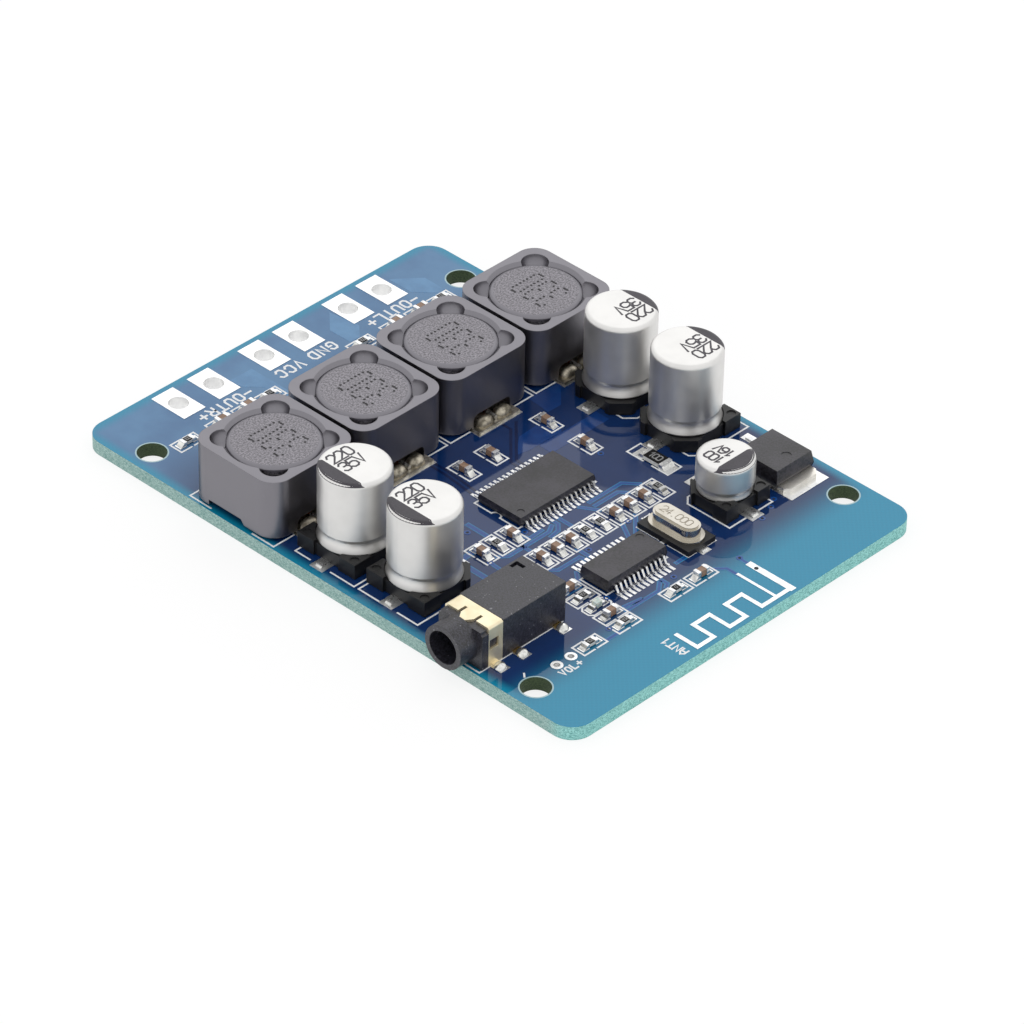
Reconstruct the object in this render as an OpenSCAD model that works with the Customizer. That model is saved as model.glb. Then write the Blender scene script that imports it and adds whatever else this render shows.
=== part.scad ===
// Stereo audio amplifier board: a small circuit board with four shielded power inductors,
// aluminium electrolytic capacitors, an amplifier chip, a wireless receiver chip with its
// crystal, a voltage regulator, a headphone-size audio jack and a printed antenna.
// The origin is the middle of the mounting holes, on the underside of the board. The speaker
// and supply pads lie along the -X edge, the jack's mouth faces -Y and the antenna is at +X.

/* [Board] */
// Length of the board along X
board_l = 70; // [68:0.5:90]
// Width of the board along Y
board_w = 50.8; // [50.6:0.2:60]
// Thickness of the board
board_t = 1.6; // [0.8:0.2:3.2]
// Radius of the board's corners
board_corner_r = 2.5; // [0.5:0.25:4]
// Diameter of the mounting holes
hole_d = 3.2; // [2.2:0.1:3.4]
// Distance of the mounting holes from the short edges
hole_inset_x = 7.6; // [5:0.1:8.5]
// Distance of the mounting holes from the long edges
hole_inset_y = 2.75; // [2.2:0.05:3.2]
// Thickness of the tinned copper lands
land_t = 0.06; // [0.04:0.01:0.2]

/* [Wire pads] */
// Length of a wire pad along X
pad_l = 5; // [3.6:0.1:5.4]
// Width of a wire pad along Y
pad_w = 3.05; // [2.8:0.05:4.2]
// Inner diameter of a wire pad's plated hole
pad_hole_d = 2.2; // [1:0.1:2.4]
// Thickness of the plating in a hole
plating_t = 0.1; // [0.05:0.01:0.15]
// Distance between the two pads of a pair
pad_pitch = 5.05; // [4.5:0.05:6]
// Distance between neighbouring pairs of pads
pad_pair_pitch = 12.37; // [11:0.01:13]
// Distance of the pads from the edge of the board
pad_edge_gap = 0.7; // [0.3:0.1:1.5]
// Outer diameter of a volume button pad
volume_pad_d = 1.3; // [1.1:0.1:1.6]
// Hole diameter of a volume button pad
volume_hole_d = 0.7; // [0.5:0.05:0.8]
// Distance between the two volume button pads
volume_pitch = 2; // [1.8:0.1:3]

/* [Inductors] */
// Side of the square ferrite shield
inductor_size = 12.2; // [11.6:0.1:12.4]
// Height of an inductor above the board
inductor_h = 7.3; // [6.4:0.1:9]
// Radius of the shield's upright corners
inductor_corner_r = 2.2; // [1.5:0.1:2.6]
// Space between neighbouring shields
inductor_gap = 0.5; // [0.2:0.05:0.6]
// Thickness of the shield's wall at the middle of each side
shield_wall = 1.1; // [0.9:0.05:1.2]
// Radial gap between the drum's top flange and the bore
drum_gap = 0.25; // [0.15:0.05:0.5]
// Depth of the drum's top below the shield's rim
drum_recess = 0.15; // [0.05:0.05:0.6]
// Diameter of the drum's core
drum_core_d = 5.2; // [4:0.1:5.8]
// Thickness of the drum's flanges
drum_flange_t = 1.5; // [1:0.1:1.8]
// Radius of the four rounded pockets in the shield's corners
scoop_r = 1.5; // [1.2:0.05:1.6]
// Depth of the bevel around the shield's bore
bore_bevel = 0.4; // [0.1:0.05:0.5]
// Diameter of the winding wire
wire_d = 0.5; // [0.4:0.05:0.6]
// Width of a terminal plate
terminal_w = 6; // [5:0.1:6.6]
// Thickness of a terminal plate
terminal_t = 0.3; // [0.2:0.05:0.5]
// Reach of a terminal plate beyond the shield
terminal_reach = 1.15; // [0.8:0.05:1.4]
// Height of the wire opening in the shield's side
wire_arch_h = 1.4; // [1.1:0.1:2]
// Height of the foot notch in the shield's front
foot_notch_h = 0.6; // [0.4:0.05:1.2]
// Length of the foot notch in the shield's front
foot_notch_l = 4.7; // [4:0.1:6]

/* [Large capacitors] */
// Diameter of a large can
cap_d = 7.7; // [7.4:0.1:7.8]
// Height of a large capacitor above its lands
cap_h = 10.2; // [8:0.1:14]
// Side of a large capacitor's base
cap_base = 8.2; // [8.1:0.1:8.6]
// Space between the two bases of a pair
cap_pair_gap = 1.1; // [0.6:0.1:1.6]

/* [Small capacitor] */
// Diameter of the small can
small_cap_d = 6.2; // [5.6:0.1:6.5]
// Height of the small capacitor above its lands
small_cap_h = 5.5; // [5:0.1:8]
// Side of the small capacitor's base
small_cap_base = 6.6; // [6.5:0.1:7]

/* [Capacitor bases] */
// Thickness of a base's floor under the can
base_floor_t = 1.45; // [1.2:0.05:1.6]
// Height of the two corner posts of a base
base_post_h = 1.75; // [1.65:0.05:2.2]
// Cut of the two corners that mark the positive side
base_corner_cut = 1.7; // [1:0.1:1.9]
// Radial clearance between a can and its base posts
base_can_gap = 0.08; // [0.04:0.02:0.12]
// Width of a capacitor's flat lead
cap_lead_w = 0.8; // [0.6:0.05:1.2]
// Thickness of a capacitor's flat lead
cap_lead_t = 0.2; // [0.15:0.05:0.3]
// Reach of a capacitor's lead beyond its base
cap_lead_reach = 0.95; // [0.4:0.05:1]

/* [Amplifier chip] */
// Length of the amplifier chip's body
amp_l = 11; // [10.9:0.1:12]
// Width of the amplifier chip's body
amp_w = 6.1; // [5.5:0.1:6.6]
// Height of the amplifier chip above its lands
amp_h = 1.1; // [0.9:0.05:1.4]
// Distance over the ends of the amplifier chip's leads
amp_span = 8.1; // [7.9:0.1:8.6]
// Distance between the amplifier chip's leads
amp_pitch = 0.65; // [0.6:0.01:0.66]
// Width of one of the amplifier chip's leads
amp_lead_w = 0.24; // [0.18:0.01:0.3]

/* [Receiver chip] */
// Length of the receiver chip's body
receiver_l = 8.65; // [8.2:0.05:9]
// Width of the receiver chip's body
receiver_w = 3.9; // [3.5:0.1:4.2]
// Height of the receiver chip above its lands
receiver_h = 1.55; // [1.2:0.05:1.8]
// Distance over the ends of the receiver chip's leads
receiver_span = 6; // [5.9:0.1:6.6]
// Distance between the receiver chip's leads
receiver_pitch = 0.635; // [0.6:0.005:0.65]
// Width of one of the receiver chip's leads
receiver_lead_w = 0.27; // [0.2:0.01:0.3]

/* [Crystal] */
// Length of the crystal's can
crystal_l = 5.8; // [5:0.1:6]
// Width of the crystal's can
crystal_w = 2.4; // [2:0.1:2.6]
// Height of the crystal above its lands
crystal_h = 2.3; // [1.9:0.1:3.5]
// Width of the flange round the crystal's can
crystal_flange = 0.45; // [0.3:0.05:0.5]
// Length of the crystal's carrier
crystal_carrier_l = 7.1; // [7:0.1:7.6]
// Width of the crystal's carrier
crystal_carrier_w = 4; // [3.6:0.1:4.4]

/* [Regulator] */
// Length of the regulator's body along X
regulator_l = 5.9; // [5.6:0.1:6.4]
// Width of the regulator's body along Y
regulator_w = 5.7; // [5.2:0.1:6.2]
// Height of the regulator above its lands
regulator_h = 2.3; // [2:0.1:2.6]
// Thickness of the regulator's tab
regulator_tab_t = 0.5; // [0.4:0.05:0.6]
// Reach of the tab beyond the body
regulator_tab_reach = 1.2; // [0.8:0.1:1.6]
// Distance between the regulator's two outer leads
regulator_lead_pitch = 4.2; // [3.8:0.1:4.6]

/* [Audio jack] */
// Width of the jack's housing
jack_w = 6; // [5.8:0.1:6.6]
// Length of the jack's housing without its barrel
jack_l = 11.8; // [11.6:0.1:13]
// Height of the jack above its lands
jack_h = 4.75; // [4.7:0.05:5.6]
// Outer diameter of the jack's barrel
jack_barrel_d = 4.9; // [4.5:0.1:5]
// Length of the jack's barrel
jack_barrel_l = 2.45; // [1.5:0.05:3]
// Diameter of the jack's bore
jack_bore_d = 3.7; // [3.6:0.05:3.8]
// Height of the jack's bore above its lands
jack_axis_z = 2.55; // [2.45:0.05:2.6]
// Length of the sleeve clip along the jack
jack_clip_l = 2; // [1.6:0.1:2.4]
// Thickness of the sleeve clip
jack_clip_t = 0.25; // [0.2:0.05:0.3]
// Distance from the board's edge to the jack's front face
jack_edge_gap = 0.75; // [0.3:0.05:1.2]

/* [Chip components] */
// Length of a small resistor or ceramic capacitor
chip_l = 1.6; // [1.5:0.05:1.7]
// Width of a small resistor or ceramic capacitor
chip_w = 0.8; // [0.7:0.05:0.9]
// Height of a small ceramic capacitor
ceramic_h = 0.8; // [0.6:0.05:0.95]
// Height of a small resistor
resistor_h = 0.45; // [0.4:0.05:0.6]
// Length of the large resistor
big_resistor_l = 3.2; // [3:0.1:3.4]
// Width of the large resistor
big_resistor_w = 1.6; // [1.4:0.1:1.8]

/* [Antenna] */
// Width of the antenna's strip
antenna_w = 0.5; // [0.3:0.05:0.7]
// Distance between the antenna's cross bars
antenna_pitch = 2.37; // [2:0.01:2.5]
// Length of the antenna's cross bars
antenna_bar_l = 2.75; // [2:0.05:3]
// Distance of the antenna from the board's edge
antenna_edge_gap = 0.55; // [0.3:0.05:0.7]

/* [Hidden] */
$fn = 48;
eps = 0.01;
INDUCTOR_COUNT = 4;
INDUCTORS = [1 : INDUCTOR_COUNT];
LARGE_CAPS = [1 : 4];
INDUCTOR_PIECES = ["shield", "drum", "winding", "terminals"];
CAP_PIECES = ["can", "base", "leads"];

// Heights: the lands lie on the board, and every component stands on the lands
seat_z = board_t + land_t;

// Middle of the row of pads and inductors, and of each stereo channel
layout_y = 0.12;
inductor_pitch = inductor_size + inductor_gap;
channel_ys = [layout_y - inductor_pitch, layout_y + inductor_pitch];

// Columns of components from the wire pads to the antenna. Each gap between two columns is
// a share of the length that the parts leave free.
antenna_stub_l = 5.4;
antenna_stub_w = 0.8;
antenna_zone = antenna_edge_gap + antenna_w / 2 + antenna_stub_l + antenna_stub_w / 2;
terminal_end = inductor_size / 2 + terminal_reach;
row_parts = pad_edge_gap + pad_l + inductor_size / 2 + terminal_end + 2 * chip_l
    + amp_span + receiver_span + chip_w + antenna_zone;
row_free = board_l - row_parts;
filter_share = 0.1219;
inductor_share = 0.2629;
decoupling_share = 0.0933;
amp_share = 0.1143;
input_row_share = 0.1257;
receiver_share = 0.1143;
right_column_share = 0.1086;
pad_x = -board_l / 2 + pad_edge_gap + pad_l / 2;
pad_ys = [for (pair = [-1 : 1], side = [-1, 1])
    layout_y + pair * pad_pair_pitch + side * pad_pitch / 2];
filter_x = pad_x + pad_l / 2 + filter_share * row_free;
inductor_x = filter_x + inductor_share * row_free + inductor_size / 2;
function inductor_y(n) = layout_y + (n - (INDUCTOR_COUNT + 1) / 2) * inductor_pitch;
terminal_end_x = inductor_x + terminal_end;
decoupling_x = terminal_end_x + decoupling_share * row_free + chip_l / 2;
amp_x = decoupling_x + chip_l / 2 + amp_share * row_free + amp_span / 2;
bias_row_offset = 3.35;
bias_row_x = amp_x + bias_row_offset;
input_row_x = amp_x + amp_span / 2 + input_row_share * row_free + chip_l / 2;
receiver_x = input_row_x + chip_l / 2 + receiver_share * row_free + receiver_span / 2;
right_column_x = receiver_x + receiver_span / 2 + right_column_share * row_free + chip_w / 2;
crystal_shift = -0.2;
crystal_x = receiver_x + crystal_shift;

// Large capacitors beside the inductors, then the jack, the small capacitor and the regulator
cap_terminal_gap = 0.35;
cap_pitch = cap_base + cap_pair_gap;
cap_xs = [for (i = [0, 1]) terminal_end_x + cap_terminal_gap + cap_base / 2 + i * cap_pitch];
cap_end_x = cap_xs[1] + cap_base / 2;
jack_share = 0.481;
jack_x = cap_end_x + jack_share * (right_column_x - cap_end_x);
back_share = 0.2324;
back_side_x = cap_end_x + back_share * (board_l / 2 - cap_end_x - jack_w);
small_cap_x = back_side_x + small_cap_base / 2;
regulator_shift = 0.45;
regulator_x = back_side_x + regulator_shift + regulator_l / 2;
volume_x = right_column_x;

// Rows of components along Y. The jack, its row of chips, the receiver, the crystal, the
// small capacitor and the regulator share the board's width in the same way.
column_parts = jack_edge_gap + jack_l + chip_l + receiver_l + crystal_carrier_w
    + small_cap_base + regulator_w;
column_free = board_w - column_parts;
jack_row_share = 0.2607;
receiver_row_share = 0.1175;
crystal_share = 0.141;
small_cap_share = 0.2308;
regulator_share = 0.1111;
jack_front_y = -board_w / 2 + jack_edge_gap;
jack_row_y = jack_front_y + jack_l + jack_row_share * column_free + chip_l / 2;
jack_row_pitch = 1.9;
receiver_y = jack_row_y + chip_l / 2 + receiver_row_share * column_free + receiver_l / 2;
crystal_y = receiver_y + receiver_l / 2 + crystal_share * column_free + crystal_carrier_w / 2;
small_cap_y = crystal_y + crystal_carrier_w / 2 + small_cap_share * column_free + small_cap_base / 2;
regulator_y = small_cap_y + small_cap_base / 2 + regulator_share * column_free + regulator_w / 2;
volume_setback = 6.95;
volume_y = jack_front_y + volume_setback;
cap_front_gap = 2.25;
cap_back_gap = 1.55;
// The second front capacitor sits a little off its place
cap_2_shift = [-0.05, 0.6];
cap_front_y = -board_w / 2 + cap_front_gap + cap_base / 2;
cap_back_y = board_w / 2 - cap_back_gap - cap_base / 2;
amp_y = 0.45;
big_resistor_gap = 1.65;
big_resistor_shift = 2.05;
big_resistor_x = cap_xs[1] + big_resistor_shift;
big_resistor_y = cap_back_y - cap_base / 2 - big_resistor_gap - big_resistor_w / 2;

// Small components: place along X and Y, turn about Z, and kind
bias_row_kinds = ["C", "R", "C"];
bias_row_pitch = 2.2;
bias_row_gap = 1.55;
bias_row_y = amp_y - amp_l / 2 - bias_row_gap;
input_row_kinds = ["C", "C", "C", "R", "R", "C", "C", "C", "R"];
input_row_pitch = 2.14;
input_row_start = -7.75;
input_row_y = amp_y + input_row_start;
jack_row_kinds = ["C", "R", "LED", "C", "R"];
jack_row_x = right_column_x - (len(jack_row_kinds) - 1) * jack_row_pitch;
filter_kinds = ["R", "C", "C", "R"];
filter_offsets = [-6.3, -1.35, 2.35, 5.45];
decoupling_offsets = [-2.55, 1.4, 9.6];
bypass_offset = [-2.35, 9.7];
right_column_kinds = ["C", "R"];
right_column_offsets = [4.7, 1];
volume_resistor_gap = 3.7;
chip_parts = concat(
    [for (i = [0 : len(bias_row_kinds) - 1])
        [bias_row_x, bias_row_y - i * bias_row_pitch, 0, bias_row_kinds[i]]],
    [for (i = [0 : len(input_row_kinds) - 1])
        [input_row_x, input_row_y + i * input_row_pitch, 0, input_row_kinds[i]]],
    [for (i = [0 : len(jack_row_kinds) - 1])
        [jack_row_x + i * jack_row_pitch, jack_row_y, 90, jack_row_kinds[i]]],
    [for (y = channel_ys, i = [0 : len(filter_kinds) - 1])
        [filter_x, y + filter_offsets[i], 90, filter_kinds[i]]],
    [for (offset = decoupling_offsets)
        [decoupling_x, amp_y + offset, 0, "C"]],
    [[amp_x + bypass_offset[0], amp_y + bypass_offset[1], 0, "C"]],
    [for (i = [0 : len(right_column_kinds) - 1])
        [right_column_x, receiver_y + right_column_offsets[i], 90, right_column_kinds[i]]],
    [[volume_x, volume_y + volume_resistor_gap, 90, "R"]]
);
chip_end_l = 0.4;
chip_end_t = 0.04;
chip_land_l = 0.95;
chip_land_inset = 0.35;
chip_land_margin = 0.1;
big_resistor_land_l = 1.3;
led_lens_t = 0.3;
resistor_coat_t = 0.05;
big_resistor_h = 0.55;
big_resistor_end_l = 0.5;

// Inductor details
shield_h = inductor_h - land_t - terminal_t;
shield_bore_d = inductor_size - 2 * shield_wall;
scoop_offset = 0.1;
scoop_lift = 0.2;
drum_top_d = shield_bore_d - 2 * drum_gap;
wire_slack = 0.04;
drum_foot_d = shield_bore_d - 2 * (wire_d + wire_slack);
drum_h = shield_h - drum_recess;
drum_edge = 0.25;
coil_margin = 0.15;
coil_bottom = drum_flange_t + coil_margin;
coil_top = drum_h - drum_flange_t - coil_margin;
coil_turns = floor((coil_top - coil_bottom) / wire_d);
tail_x = (drum_foot_d + wire_d + wire_slack) / 2;
coil_bite = 0.05;
coil_outer_r = tail_x - wire_d / 2 + coil_bite;
terminal_inner = 2.2;
inductor_land_l = 3.4;
inductor_land_margin = 0.2;
wire_arch_margin = 0.3;
wire_arch_w = terminal_w - 2 * wire_arch_margin;
wire_arch_r = 0.6;
foot_notch_start = 2.75;
foot_notch_slope = 0.45;

// Capacitor details
can_edge_r = 0.5;
can_foot_h = 0.2;
can_foot_bevel = 0.12;
can_neck_depth = 0.25;
cap_neck_z = 1.3;
cap_flare = 0.1;
small_cap_neck_z = 0.7;
small_cap_flare = -0.15;
neck_shoulder = 0.5;
base_recess = 0.25;
base_recess_share = 0.46;
post_dimple_r = 0.5;
post_dimple_depth = 0.12;
post_dimple_margin = 0.2;
post_dimple_inset = post_dimple_r + post_dimple_margin;
lead_inner = 0.6;
lead_slack = 0.1;
cap_land_l = 3.2;
cap_land_margin = 0.5;

// Chip package details
chip_standoff = 0.1;
chip_draft = 0.12;
lead_t = 0.16;
lead_shoulder = 0.2;
dimple_depth = 0.06;
amp_side_leads = 16;
amp_foot_l = 0.55;
amp_dimple_r = 0.4;
amp_dimple_inset = 0.95;
receiver_side_leads = 12;
receiver_foot_l = 0.5;
receiver_dimple_r = 0.45;
receiver_dimple_inset = 0.87;
receiver_land_reach = 0.3;
lead_land_side = 0.05;
heat_pad_l = 6.5;
heat_pad_w = 4.1;

// Crystal details
crystal_carrier_t = 0.6;
crystal_flange_t = 0.35;
crystal_edge = 0.22;
crystal_lead_w = 0.9;
crystal_lead_t = 0.15;
crystal_lead_reach = 0.55;
crystal_lead_end = crystal_carrier_l / 2 + crystal_lead_reach;
crystal_land_l = 1.8;
crystal_land_margin = 0.2;

// Regulator details
regulator_lead_w = 0.75;
regulator_lead_reach = 2.6;
regulator_tab_cut = 0.6;
regulator_draft = 0.25;
regulator_lead_z = 0.9;
regulator_foot_l = 1;
regulator_standoff = 0.05;
regulator_land_l = 5.6;
regulator_land_margin = 0.9;
regulator_lead_land_l = 1.8;
regulator_lead_land_side = 0.2;
regulator_dimple = [1.4, 0.2];
regulator_dimple_r = 0.55;
tab_inner_inset = 1.2;
tab_inner = -regulator_l / 2 + tab_inner_inset;
tab_outer = regulator_l / 2 + regulator_tab_reach;
tab_side_inset = 0.35;
tab_slack = 0.02;

// Jack details
jack_flange_l = 0.9;
jack_flange_bevel = 0.7;
jack_clip_y = jack_flange_l;
clip_slack = 0.05;
jack_body_y = jack_clip_y + jack_clip_l + clip_slack;
bore_depth = 3.2;
jack_bore_front_l = jack_barrel_l + bore_depth;
chamber_step = 0.2;
jack_chamber_w = jack_bore_d + chamber_step;
jack_rear_wall = 1.1;
jack_chamber_end = jack_l - jack_rear_wall;
jack_lip = 0.3;
contact_t = 0.15;
contact_h = 1.2;
contact_gap = 0.06;
contact_foot_w = 0.9;
contact_reach = 1.15;
foot_end_x = jack_w / 2 + contact_reach;
contact_room = 0.3;
contact_x = jack_chamber_w / 2 + contact_room;
contact_press = 0.15;
contact_touch_x = jack_bore_d / 2 - contact_press;
contact_touch_at = 0.7;
contact_toe_in = 0.25;
long_leaf_l = 4.2;
short_leaf_l = 1.5;
tip_foot_inset = 1.2;
tip_foot_y = jack_l - tip_foot_inset;
ring_foot_y = 4.85;
clip_foot_y = 1.75;
clip_window = [1.25, 1.15];
clip_window_y = 1.68;
clip_window_drop = 0.53;
clip_tongue = 0.8;
clip_tongue_root = 0.85;
clip_tongue_tip = 0.3;
clip_slit_x = 1.05;
clip_slit_w = 0.35;
clip_slit_l = 1;
slot_inset = 0.25;
slot_rear = 1.05;
slot_w = 0.45;
slot_l = 1.25;
slot_leg_l = 1.1;
slot_depth = 0.7;
jack_feet = [
    [1, clip_foot_y, jack_clip_t],
    [1, ring_foot_y, contact_t],
    [1, tip_foot_y, contact_t],
    [-1, tip_foot_y, contact_t]
];
jack_land_l = 1.5;
jack_land_margin = 0.4;

// Solder details
chip_fillet = [0.45, 0.4];
lead_fillet = [0.2, 0.15];
fillet_hollow = [0.4, 0.45];
hump_r = 0.8;
hump_l = 0.6;
hump_out = 0.1;
dome_r = 0.7;
dome_sink = 0.15;
dome_inset = 0.35;

// Antenna and land details
antenna_x = board_l / 2 - antenna_edge_gap - antenna_w / 2;
antenna_start_y = 7.05;
antenna_feed_y = 4.95;
antenna_first_y = 2.75;
antenna_bars = 5;
antenna_feed_l = 5.2;
antenna_feed_w = 0.35;
chip_lead_land_l = 1.5;
lead_land_margin = 0.5;

// Shapes that repeat

module rounded_rectangle(size_x, size_y, radius) {
    square([size_x - 2 * radius, size_y], center = true);
    square([size_x, size_y - 2 * radius], center = true);
    for (x = [-1, 1], y = [-1, 1])
        translate([x * (size_x / 2 - radius), y * (size_y / 2 - radius)])
            circle(radius);
}

module stadium(length, width) {
    square([length - width, width], center = true);
    for (side = [-1, 1])
        translate([side * (length - width) / 2, 0])
            circle(width / 2);
}

// A plate of the given size, centred on X and Y, standing on z = 0
module plate(size_x, size_y, height)
    translate([-size_x / 2, -size_y / 2, 0])
        cube([size_x, size_y, height]);

// A cylinder along Y from y = 0
module bar_y(radius, length)
    rotate([-90, 0, 0])
        cylinder(h = length, r = radius);

// A block with drafted walls above and below its parting line
module moulded_block(length, width, bottom, top, parting, draft) {
    intersection() {
        rotate([90, 0, 0])
            linear_extrude(2 * length, center = true)
                drafted_outline(width, bottom, top, parting, draft);
        rotate([90, 0, 90])
            linear_extrude(2 * width, center = true)
                drafted_outline(length, bottom, top, parting, draft);
    }
}

module drafted_outline(width, bottom, top, parting, draft)
    polygon([
        [-width / 2 + draft, bottom],
        [width / 2 - draft, bottom],
        [width / 2, parting],
        [width / 2 - draft, top],
        [-width / 2 + draft, top],
        [-width / 2, parting]
    ]);

// One gull-wing lead along +X, from the body's wall at x = 0 down to its foot
module gull_wing(reach, rise, foot, width)
    rotate([90, 0, 0])
        linear_extrude(width, center = true)
            polygon([
                [0, rise - lead_t / 2],
                [lead_shoulder, rise - lead_t / 2],
                [reach - foot, 0],
                [reach, 0],
                [reach, lead_t],
                [reach - foot + lead_t / 2, lead_t],
                [lead_shoulder + lead_t / 2, rise + lead_t / 2],
                [0, rise + lead_t / 2]
            ]);

// Both rows of leads of a chip whose length runs along Y
module lead_rows(count, pitch, body_w, span, rise, foot, width)
    for (side = [0, 180], i = [0 : count - 1])
        rotate([0, 0, side])
            translate([body_w / 2, (i - (count - 1) / 2) * pitch, 0])
                gull_wing((span - body_w) / 2, rise, foot, width);

module lead_row_lands(count, pitch, span, lead_w) {
    land_x = span / 2 + lead_land_margin - chip_lead_land_l / 2;
    for (side = [-1, 1], i = [0 : count - 1])
        translate([side * land_x, (i - (count - 1) / 2) * pitch, 0])
            plate(chip_lead_land_l, lead_w + 2 * lead_land_side, land_t);
}

// A shallow round hollow below z = 0
module dimple(radius, depth)
    translate([0, 0, -depth])
        cylinder(h = depth + eps, r = radius);

module at_board_top(x, y, turn = 0)
    translate([x, y, board_t])
        rotate([0, 0, turn])
            children();

module at_seat(x, y, turn = 0)
    translate([x, y, seat_z])
        rotate([0, 0, turn])
            children();

module at_chip_parts(kind)
    for (part = chip_parts)
        if (part[3] == kind)
            at_seat(part[0], part[1], part[2])
                children();

// Board and its copper

module at_mounting_holes()
    for (x = [-1, 1], y = [-1, 1])
        translate([x * (board_l / 2 - hole_inset_x), y * (board_w / 2 - hole_inset_y)])
            children();

module at_wire_pads()
    for (y = pad_ys)
        translate([pad_x, y])
            children();

module at_volume_pads()
    for (side = [-1, 1])
        translate([volume_x, volume_y + side * volume_pitch / 2])
            children();

module circuit_board()
    color("royalblue")
        difference() {
            linear_extrude(board_t)
                difference() {
                    rounded_rectangle(board_l, board_w, board_corner_r);
                    at_mounting_holes() circle(hole_d / 2);
                    at_wire_pads() circle(pad_hole_d / 2 + plating_t);
                    at_volume_pads() circle(volume_hole_d / 2 + plating_t);
                }
            at_wire_pads()
                translate([0, 0, -eps])
                    plate(pad_l, pad_w, land_t + eps);
            at_volume_pads()
                translate([0, 0, -eps])
                    cylinder(h = land_t + eps, r = volume_pad_d / 2);
        }

// Plated holes with a land on each face, the lower one flush with the underside
module terminal_pads()
    color("gainsboro")
        at_wire_pads()
            difference() {
                union() {
                    plate(pad_l, pad_w, land_t);
                    cylinder(h = board_t + land_t, r = pad_hole_d / 2 + plating_t);
                    translate([0, 0, board_t])
                        plate(pad_l, pad_w, land_t);
                }
                translate([0, 0, -eps])
                    cylinder(h = board_t + land_t + 2 * eps, r = pad_hole_d / 2);
            }

module volume_pads()
    color("gainsboro")
        at_volume_pads()
            difference() {
                union() {
                    cylinder(h = land_t, r = volume_pad_d / 2);
                    cylinder(h = board_t + land_t, r = volume_hole_d / 2 + plating_t);
                    translate([0, 0, board_t])
                        cylinder(h = land_t, r = volume_pad_d / 2);
                }
                translate([0, 0, -eps])
                    cylinder(h = board_t + land_t + 2 * eps, r = volume_hole_d / 2);
            }

module chip_lands(length, width, land_l)
    for (side = [-1, 1])
        translate([side * (length / 2 - chip_land_inset + land_l / 2), 0, 0])
            plate(land_l, width, land_t);

module component_lands()
    color("silver") {
        for (part = chip_parts)
            at_board_top(part[0], part[1], part[2])
                chip_lands(chip_l, chip_w + chip_land_margin, chip_land_l);
        at_board_top(big_resistor_x, big_resistor_y)
            chip_lands(big_resistor_l, big_resistor_w + chip_land_margin, big_resistor_land_l);
        for (n = INDUCTORS)
            at_board_top(inductor_x, inductor_y(n))
                inductor_lands();
        for (n = LARGE_CAPS)
            at_large_cap(n, board_t)
                cap_lands(cap_base);
        at_board_top(small_cap_x, small_cap_y, 0)
            cap_lands(small_cap_base);
        at_board_top(amp_x, amp_y) {
            lead_row_lands(amp_side_leads, amp_pitch, amp_span, amp_lead_w);
            plate(heat_pad_w, heat_pad_l, land_t);
        }
        at_board_top(receiver_x, receiver_y)
            lead_row_lands(
                receiver_side_leads, receiver_pitch,
                receiver_span + 2 * receiver_land_reach, receiver_lead_w
            );
        at_board_top(crystal_x, crystal_y)
            crystal_lands();
        at_board_top(regulator_x, regulator_y)
            regulator_lands();
        at_board_top(jack_x, jack_front_y)
            jack_lands();
    }

// Inverted-F antenna: a grounded stub, a feed and a meander of cross bars
module antenna_trace()
    color("white")
        translate([0, 0, board_t])
            linear_extrude(land_t) {
                antenna_bar(antenna_start_y, antenna_stub_l, antenna_stub_w);
                antenna_bar(antenna_feed_y, antenna_feed_l, antenna_feed_w);
                antenna_link(antenna_x, antenna_first_y, antenna_start_y);
                for (i = [0 : antenna_bars - 1])
                    antenna_bar(antenna_bar_y(i), antenna_bar_l, antenna_w);
                for (i = [0 : antenna_bars - 2])
                    antenna_link(antenna_turn_x(i), antenna_bar_y(i + 1), antenna_bar_y(i));
            }

function antenna_bar_y(i) = antenna_first_y - i * antenna_pitch;
function antenna_turn_x(i) = i % 2 == 0 ? antenna_x - antenna_bar_l : antenna_x;

// A strip along X that ends over the antenna's outer line
module antenna_bar(y, length, width)
    translate([antenna_x - length - width / 2, y - width / 2])
        square([length + width, width]);

// A strip along Y between two bars
module antenna_link(x, y0, y1)
    translate([x - antenna_w / 2, y0 - antenna_w / 2])
        square([antenna_w, y1 - y0 + antenna_w]);

// Solder on the terminals, leads, feet and chip ends
module solder_joints()
    color("lightgray") {
        for (n = INDUCTORS)
            at_inductor(n)
                inductor_solder();
        for (part = chip_parts)
            at_seat(part[0], part[1], part[2])
                end_fillets(chip_l / 2, chip_w, chip_fillet);
        at_seat(big_resistor_x, big_resistor_y)
            end_fillets(big_resistor_l / 2, big_resistor_w, chip_fillet);
        for (n = LARGE_CAPS)
            at_large_cap(n)
                end_fillets(cap_base / 2 + cap_lead_reach, cap_lead_w, lead_fillet);
        at_seat(small_cap_x, small_cap_y)
            end_fillets(small_cap_base / 2 + cap_lead_reach, cap_lead_w, lead_fillet);
        at_seat(crystal_x, crystal_y)
            end_fillets(crystal_lead_end, crystal_lead_w, lead_fillet);
        at_jack()
            jack_solder();
    }

// A wedge of solder at each end of a part, long and high as given
module end_fillets(end_x, width, fillet)
    for (side = [0, 180])
        rotate([0, 0, side])
            translate([end_x, 0, 0])
                rotate([90, 0, 0])
                    linear_extrude(width, center = true)
                        polygon([
                            [0, 0],
                            [fillet[0], 0],
                            [fillet[0] * fillet_hollow[0], fillet[1] * fillet_hollow[1]],
                            [0, fillet[1]]
                        ]);

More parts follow.
